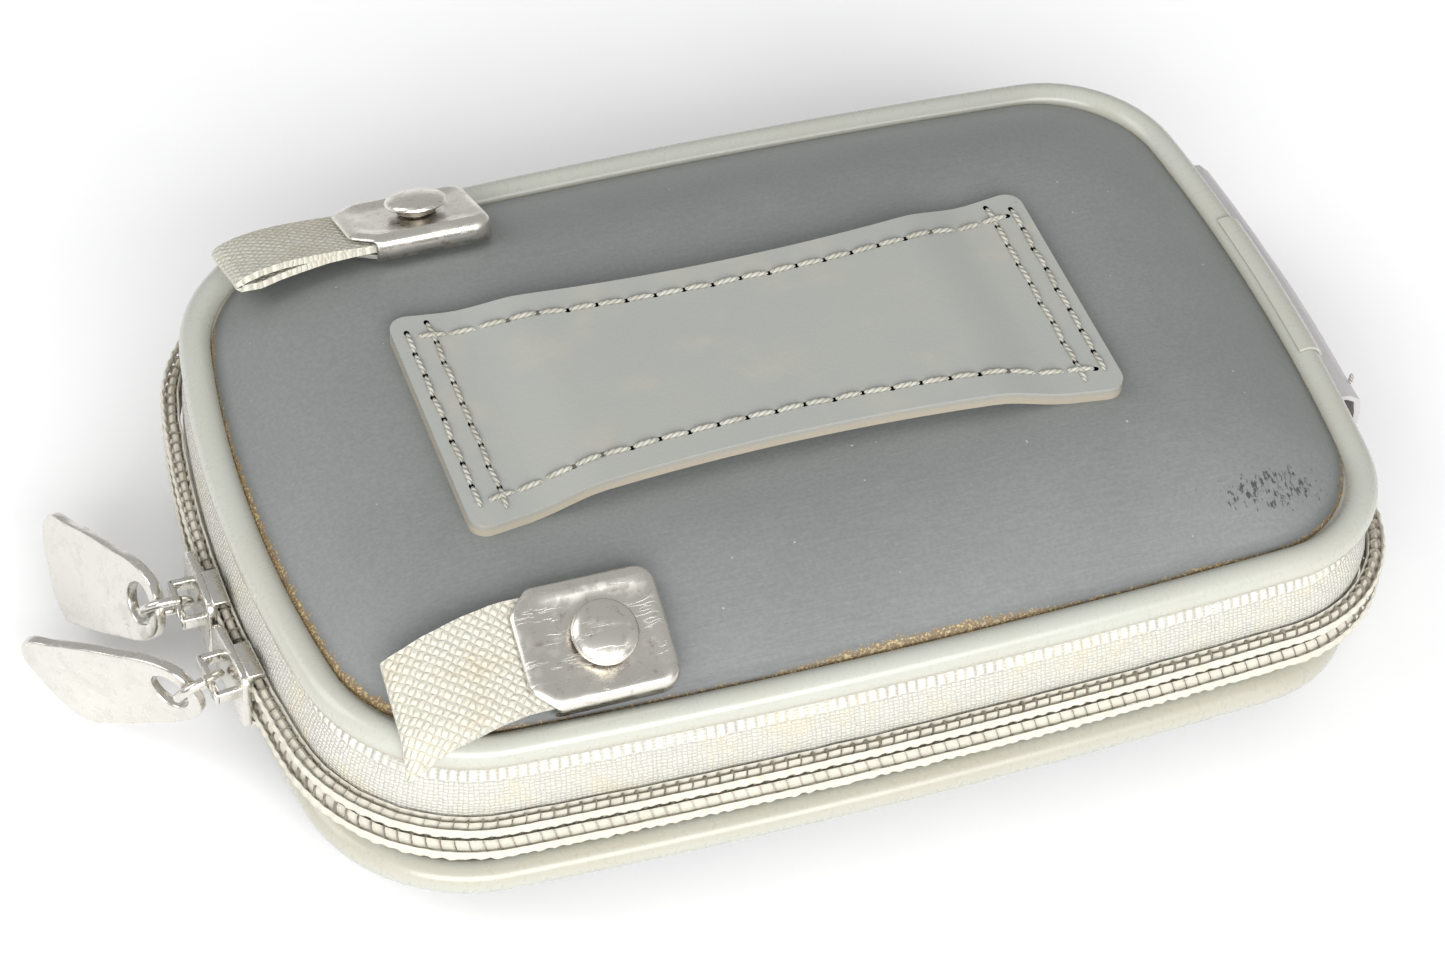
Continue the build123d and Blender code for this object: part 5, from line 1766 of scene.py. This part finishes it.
    def build_link(self) -> bmesh.types.BMesh:
        """The link: round wire bent into a ring whose ends nearly meet."""
        centre, normal, outward = self.link_frame()
        bm = bmesh.new()
        radius = (self.link_inside + self.wire) / 2
        section = Matrix.Translation((radius, 0, 0)) @ Matrix.Rotation(math.pi / 2, 4, "X")
        bmesh.ops.create_circle(bm, segments=14, radius=self.wire / 2, matrix=section)
        opening = math.radians(5)
        bmesh.ops.spin(bm, geom=bm.verts[:] + bm.edges[:], cent=(0, 0, 0), axis=UP,
                       angle=2 * math.pi - opening,
                       steps=44, use_merge=False)
        close_holes(bm)
        bmesh.ops.recalc_face_normals(bm, faces=bm.faces)
        move(bm, Matrix.Rotation(math.radians(115), 4, "Z"))
        frame_axes = Matrix((outward, normal.cross(outward), normal)).transposed().to_4x4()
        move(bm, Matrix.Translation(centre) @ frame_axes)
        return bm

    def build_pull(self) -> bmesh.types.BMesh:
        """The leaf-shaped pull, cut from sheet with an oval eye, rounded edges and a dished middle."""
        centre, _, outward = self.link_frame()
        root = centre + outward * (self.link_inside / 2 - 0.35 - self.pull_rim / 2)
        long_way = (self.aim - self.rise * (self.aim.dot(self.rise) / self.rise.dot(self.rise))).normalized()
        rise = self.rise.normalized()
        across = long_way.cross(rise)
        axes = Matrix((long_way, across.cross(long_way), across)).transposed().to_4x4()
        half_root, half_tip, tip = self.pull_root / 2, self.pull_width / 2, self.pull_length
        leaf = [(-0.75, 0.0), (-0.35, -half_root * 0.62), (1.0, -half_root * 1.02),
                (tip * 0.4, -half_tip * 0.86),
                (tip - 6.5, -half_tip * 0.98), (tip - 3.4, -half_tip * 0.97), (tip - 1.6, -half_tip * 0.66),
                (tip - 0.3, 0.0), (tip - 0.05, half_tip * 0.66), (tip - 1.6, half_tip * 0.97),
                (tip - 6.0, half_tip * 0.97), (tip * 0.4, half_tip * 0.86), (1.0, half_root * 1.02),
                (-0.35, half_root * 0.62)]
        eye_middle = self.pull_rim / 2 + self.hole[0] / 2
        eye = [(eye_middle + self.hole[0] / 2 * math.cos(a), self.hole[1] / 2 * math.sin(a))
               for a in (math.pi * k / 4 for k in range(8))]
        curve = bpy.data.curves.new("leaf", "CURVE")
        curve.dimensions = "2D"
        curve.fill_mode = "BOTH"
        curve.extrude = self.pull_thickness / 2 - 0.32
        curve.bevel_depth = 0.32
        curve.offset = -0.32
        curve.bevel_resolution = 3
        curve.resolution_u = 10
        for points in (leaf, eye):
            spline = curve.splines.new("BEZIER")
            spline.bezier_points.add(len(points) - 1)
            spline.use_cyclic_u = True
            for knot, point in zip(spline.bezier_points, points):
                knot.co = (*point, 0.0)
                knot.handle_left_type = knot.handle_right_type = "AUTO"
        drawn = bpy.data.objects.new("leaf", curve)
        mesh = bpy.data.meshes.new_from_object(drawn)
        bpy.data.objects.remove(drawn)
        bm = bmesh.new()
        bm.from_mesh(mesh)
        bmesh.ops.remove_doubles(bm, verts=bm.verts, dist=1e-3)
        for number in range(-6, 26):
            bmesh.ops.bisect_plane(bm, geom=bm.verts[:] + bm.edges[:] + bm.faces[:], plane_co=(number, 0, 0),
                                   plane_no=(1, 0, 0), dist=1e-4)
        for number in range(-5, 6):
            bmesh.ops.bisect_plane(bm, geom=bm.verts[:] + bm.edges[:] + bm.faces[:],
                                   plane_co=(0, 1.15 * number, 0),
                                   plane_no=(0, 1, 0), dist=1e-4)
        for vertex in bm.verts:
            x, y = vertex.co.x, vertex.co.y
            dish = max(0.0, 1 - ((x - 14.5) / 9.0) ** 2) * max(0.0, 1 - (y / 5.4) ** 2)
            vertex.co.z -= 0.3 * dish
        bmesh.ops.recalc_face_normals(bm, faces=bm.faces)
        move(bm, Matrix.Translation(root) @ axes)
        return bm

    def dress(self) -> None:
        """Makes the slider, its link and its pull."""
        prefix = self.side.prefix
        finished(f"{prefix}_slider_body", self.build_slider(),
                 Trim(f"{prefix}_slider", "nickel", [POLISHED], (f"{prefix}_slider",), 40.0))
        finished(f"{prefix}_link_ring", self.build_link(),
                 Trim(f"{prefix}_link", "nickel", [POLISHED], (f"{prefix}_slider_link",), 40.0))
        finished(f"{prefix}_pull_leaf", self.build_pull(),
                 Trim(f"{prefix}_pull", "nickel", [POLISHED], (f"{prefix}_pull_tab",), 35.0))


# ------------------------------------------------------------------------------------ stage
@dataclass(frozen=True)
class Camera:
    """The camera: where it looks from, in degrees and millimetres."""

    azimuth: float = -23.57
    elevation: float = 46.72
    roll: float = 5.18
    distance: float = 466.0
    target: tuple[float, float, float] = (-5.1, -0.6, 17.3)
    lens: float = 101.05

    def build(self) -> None:
        """Adds the camera and makes it the scene's own."""
        turn, lift, roll = (math.radians(angle) for angle in (self.azimuth, self.elevation, self.roll))
        back = Vector((math.sin(turn) * math.cos(lift), -math.cos(turn) * math.cos(lift), math.sin(lift)))
        level = UP.cross(back).normalized()
        upright = back.cross(level)
        right = level * math.cos(roll) + upright * math.sin(roll)
        above = upright * math.cos(roll) - level * math.sin(roll)
        data = bpy.data.cameras.new("camera")
        data.lens, data.sensor_width = self.lens, 36.0
        data.clip_start, data.clip_end = 0.01, 20.0
        camera = bpy.data.objects.new("camera", data)
        place = Matrix((right, above, back)).transposed().to_4x4()
        place.translation = (Vector(self.target) + back * self.distance) * MM
        camera.matrix_world = place
        bpy.context.collection.objects.link(camera)
        bpy.context.scene.camera = camera


@dataclass(frozen=True)
class Lamp:
    """A soft rectangular light."""

    name: str
    at: tuple[float, float, float]
    size: tuple[float, float]
    power: float
    colour: tuple[float, float, float] = (1.0, 1.0, 1.0)

    def build(self) -> None:
        """Adds the light, aimed at the pouch."""
        data = bpy.data.lights.new(self.name, "AREA")
        data.shape, data.size, data.size_y = "RECTANGLE", *self.size
        data.energy, data.color = self.power, self.colour
        lamp = bpy.data.objects.new(self.name, data)
        lamp.location = self.at
        lamp.rotation_euler = (Vector((0, 0, 0.02)) - Vector(self.at)).to_track_quat("-Z", "Y").to_euler()
        bpy.context.collection.objects.link(lamp)


@dataclass
class Stage:
    """Floor, lights, sky and camera."""

    floor_size: float = 6.0
    lamps: tuple[Lamp, ...] = (
        Lamp("key", (-0.2, -1.0, 0.6), (1.4, 0.6), 19.0),
        Lamp("left", (-1.0, 0.3, 0.8), (0.6, 0.9), 5.0))

    def build(self) -> None:
        """Sets everything round the pouch."""
        bm = bmesh.new()
        bmesh.ops.create_grid(bm, x_segments=4, y_segments=4, size=self.floor_size / 2)
        mesh = bpy.data.meshes.new("floor")
        bm.to_mesh(mesh)
        bm.free()
        floor = bpy.data.objects.new("floor", mesh)
        bpy.context.collection.objects.link(floor)
        mesh.materials.append(PaperFloor("pale floor", (0.97, 0.97, 0.975), 0.9, 0.1).material())
        floor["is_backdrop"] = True
        world = bpy.data.worlds.new("studio")
        world.use_nodes = True
        sky = world.node_tree.nodes["Background"]
        sky.inputs["Color"].default_value = (1.0, 1.0, 1.0, 1.0)
        sky.inputs["Strength"].default_value = 0.5
        bpy.context.scene.world = world
        for lamp in self.lamps:
            lamp.build()
        Camera().build()
        bpy.context.scene.view_settings.view_transform = "Standard"


def write_size() -> None:
    """Gathers the CAD model's box and the visual model's box as plain lists."""
    boxes = {"cad": CAD_BOX, "visual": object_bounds()}
    plain = {name: [[float(value) for value in corner] for corner in box] for name, box in boxes.items()}


def main() -> None:
    """Builds every sub-assembly in order."""
    logging.basicConfig(level=logging.INFO, format="%(name)s: %(message)s")
    for half in Half:
        MouldedShell(half).dress()
        Piping(half).dress()
        ZipperHalf(half).dress()
    Hinge().dress()
    BeltLoop().dress()
    for side in Side:
        StrapAnchor(side).dress()
    Fastener(Side.NEAR, -12.6, Vector((-0.55, 0.68, -0.49)), Vector((-0.39, 0.31, 0.86))).dress()
    Fastener(Side.FAR, -1.6, Vector((-0.33, 0.82, -0.46)), Vector((0.06, 0.50, 0.86))).dress()
    Stage().build()
    write_size()


if __name__ == "__main__":
    main()
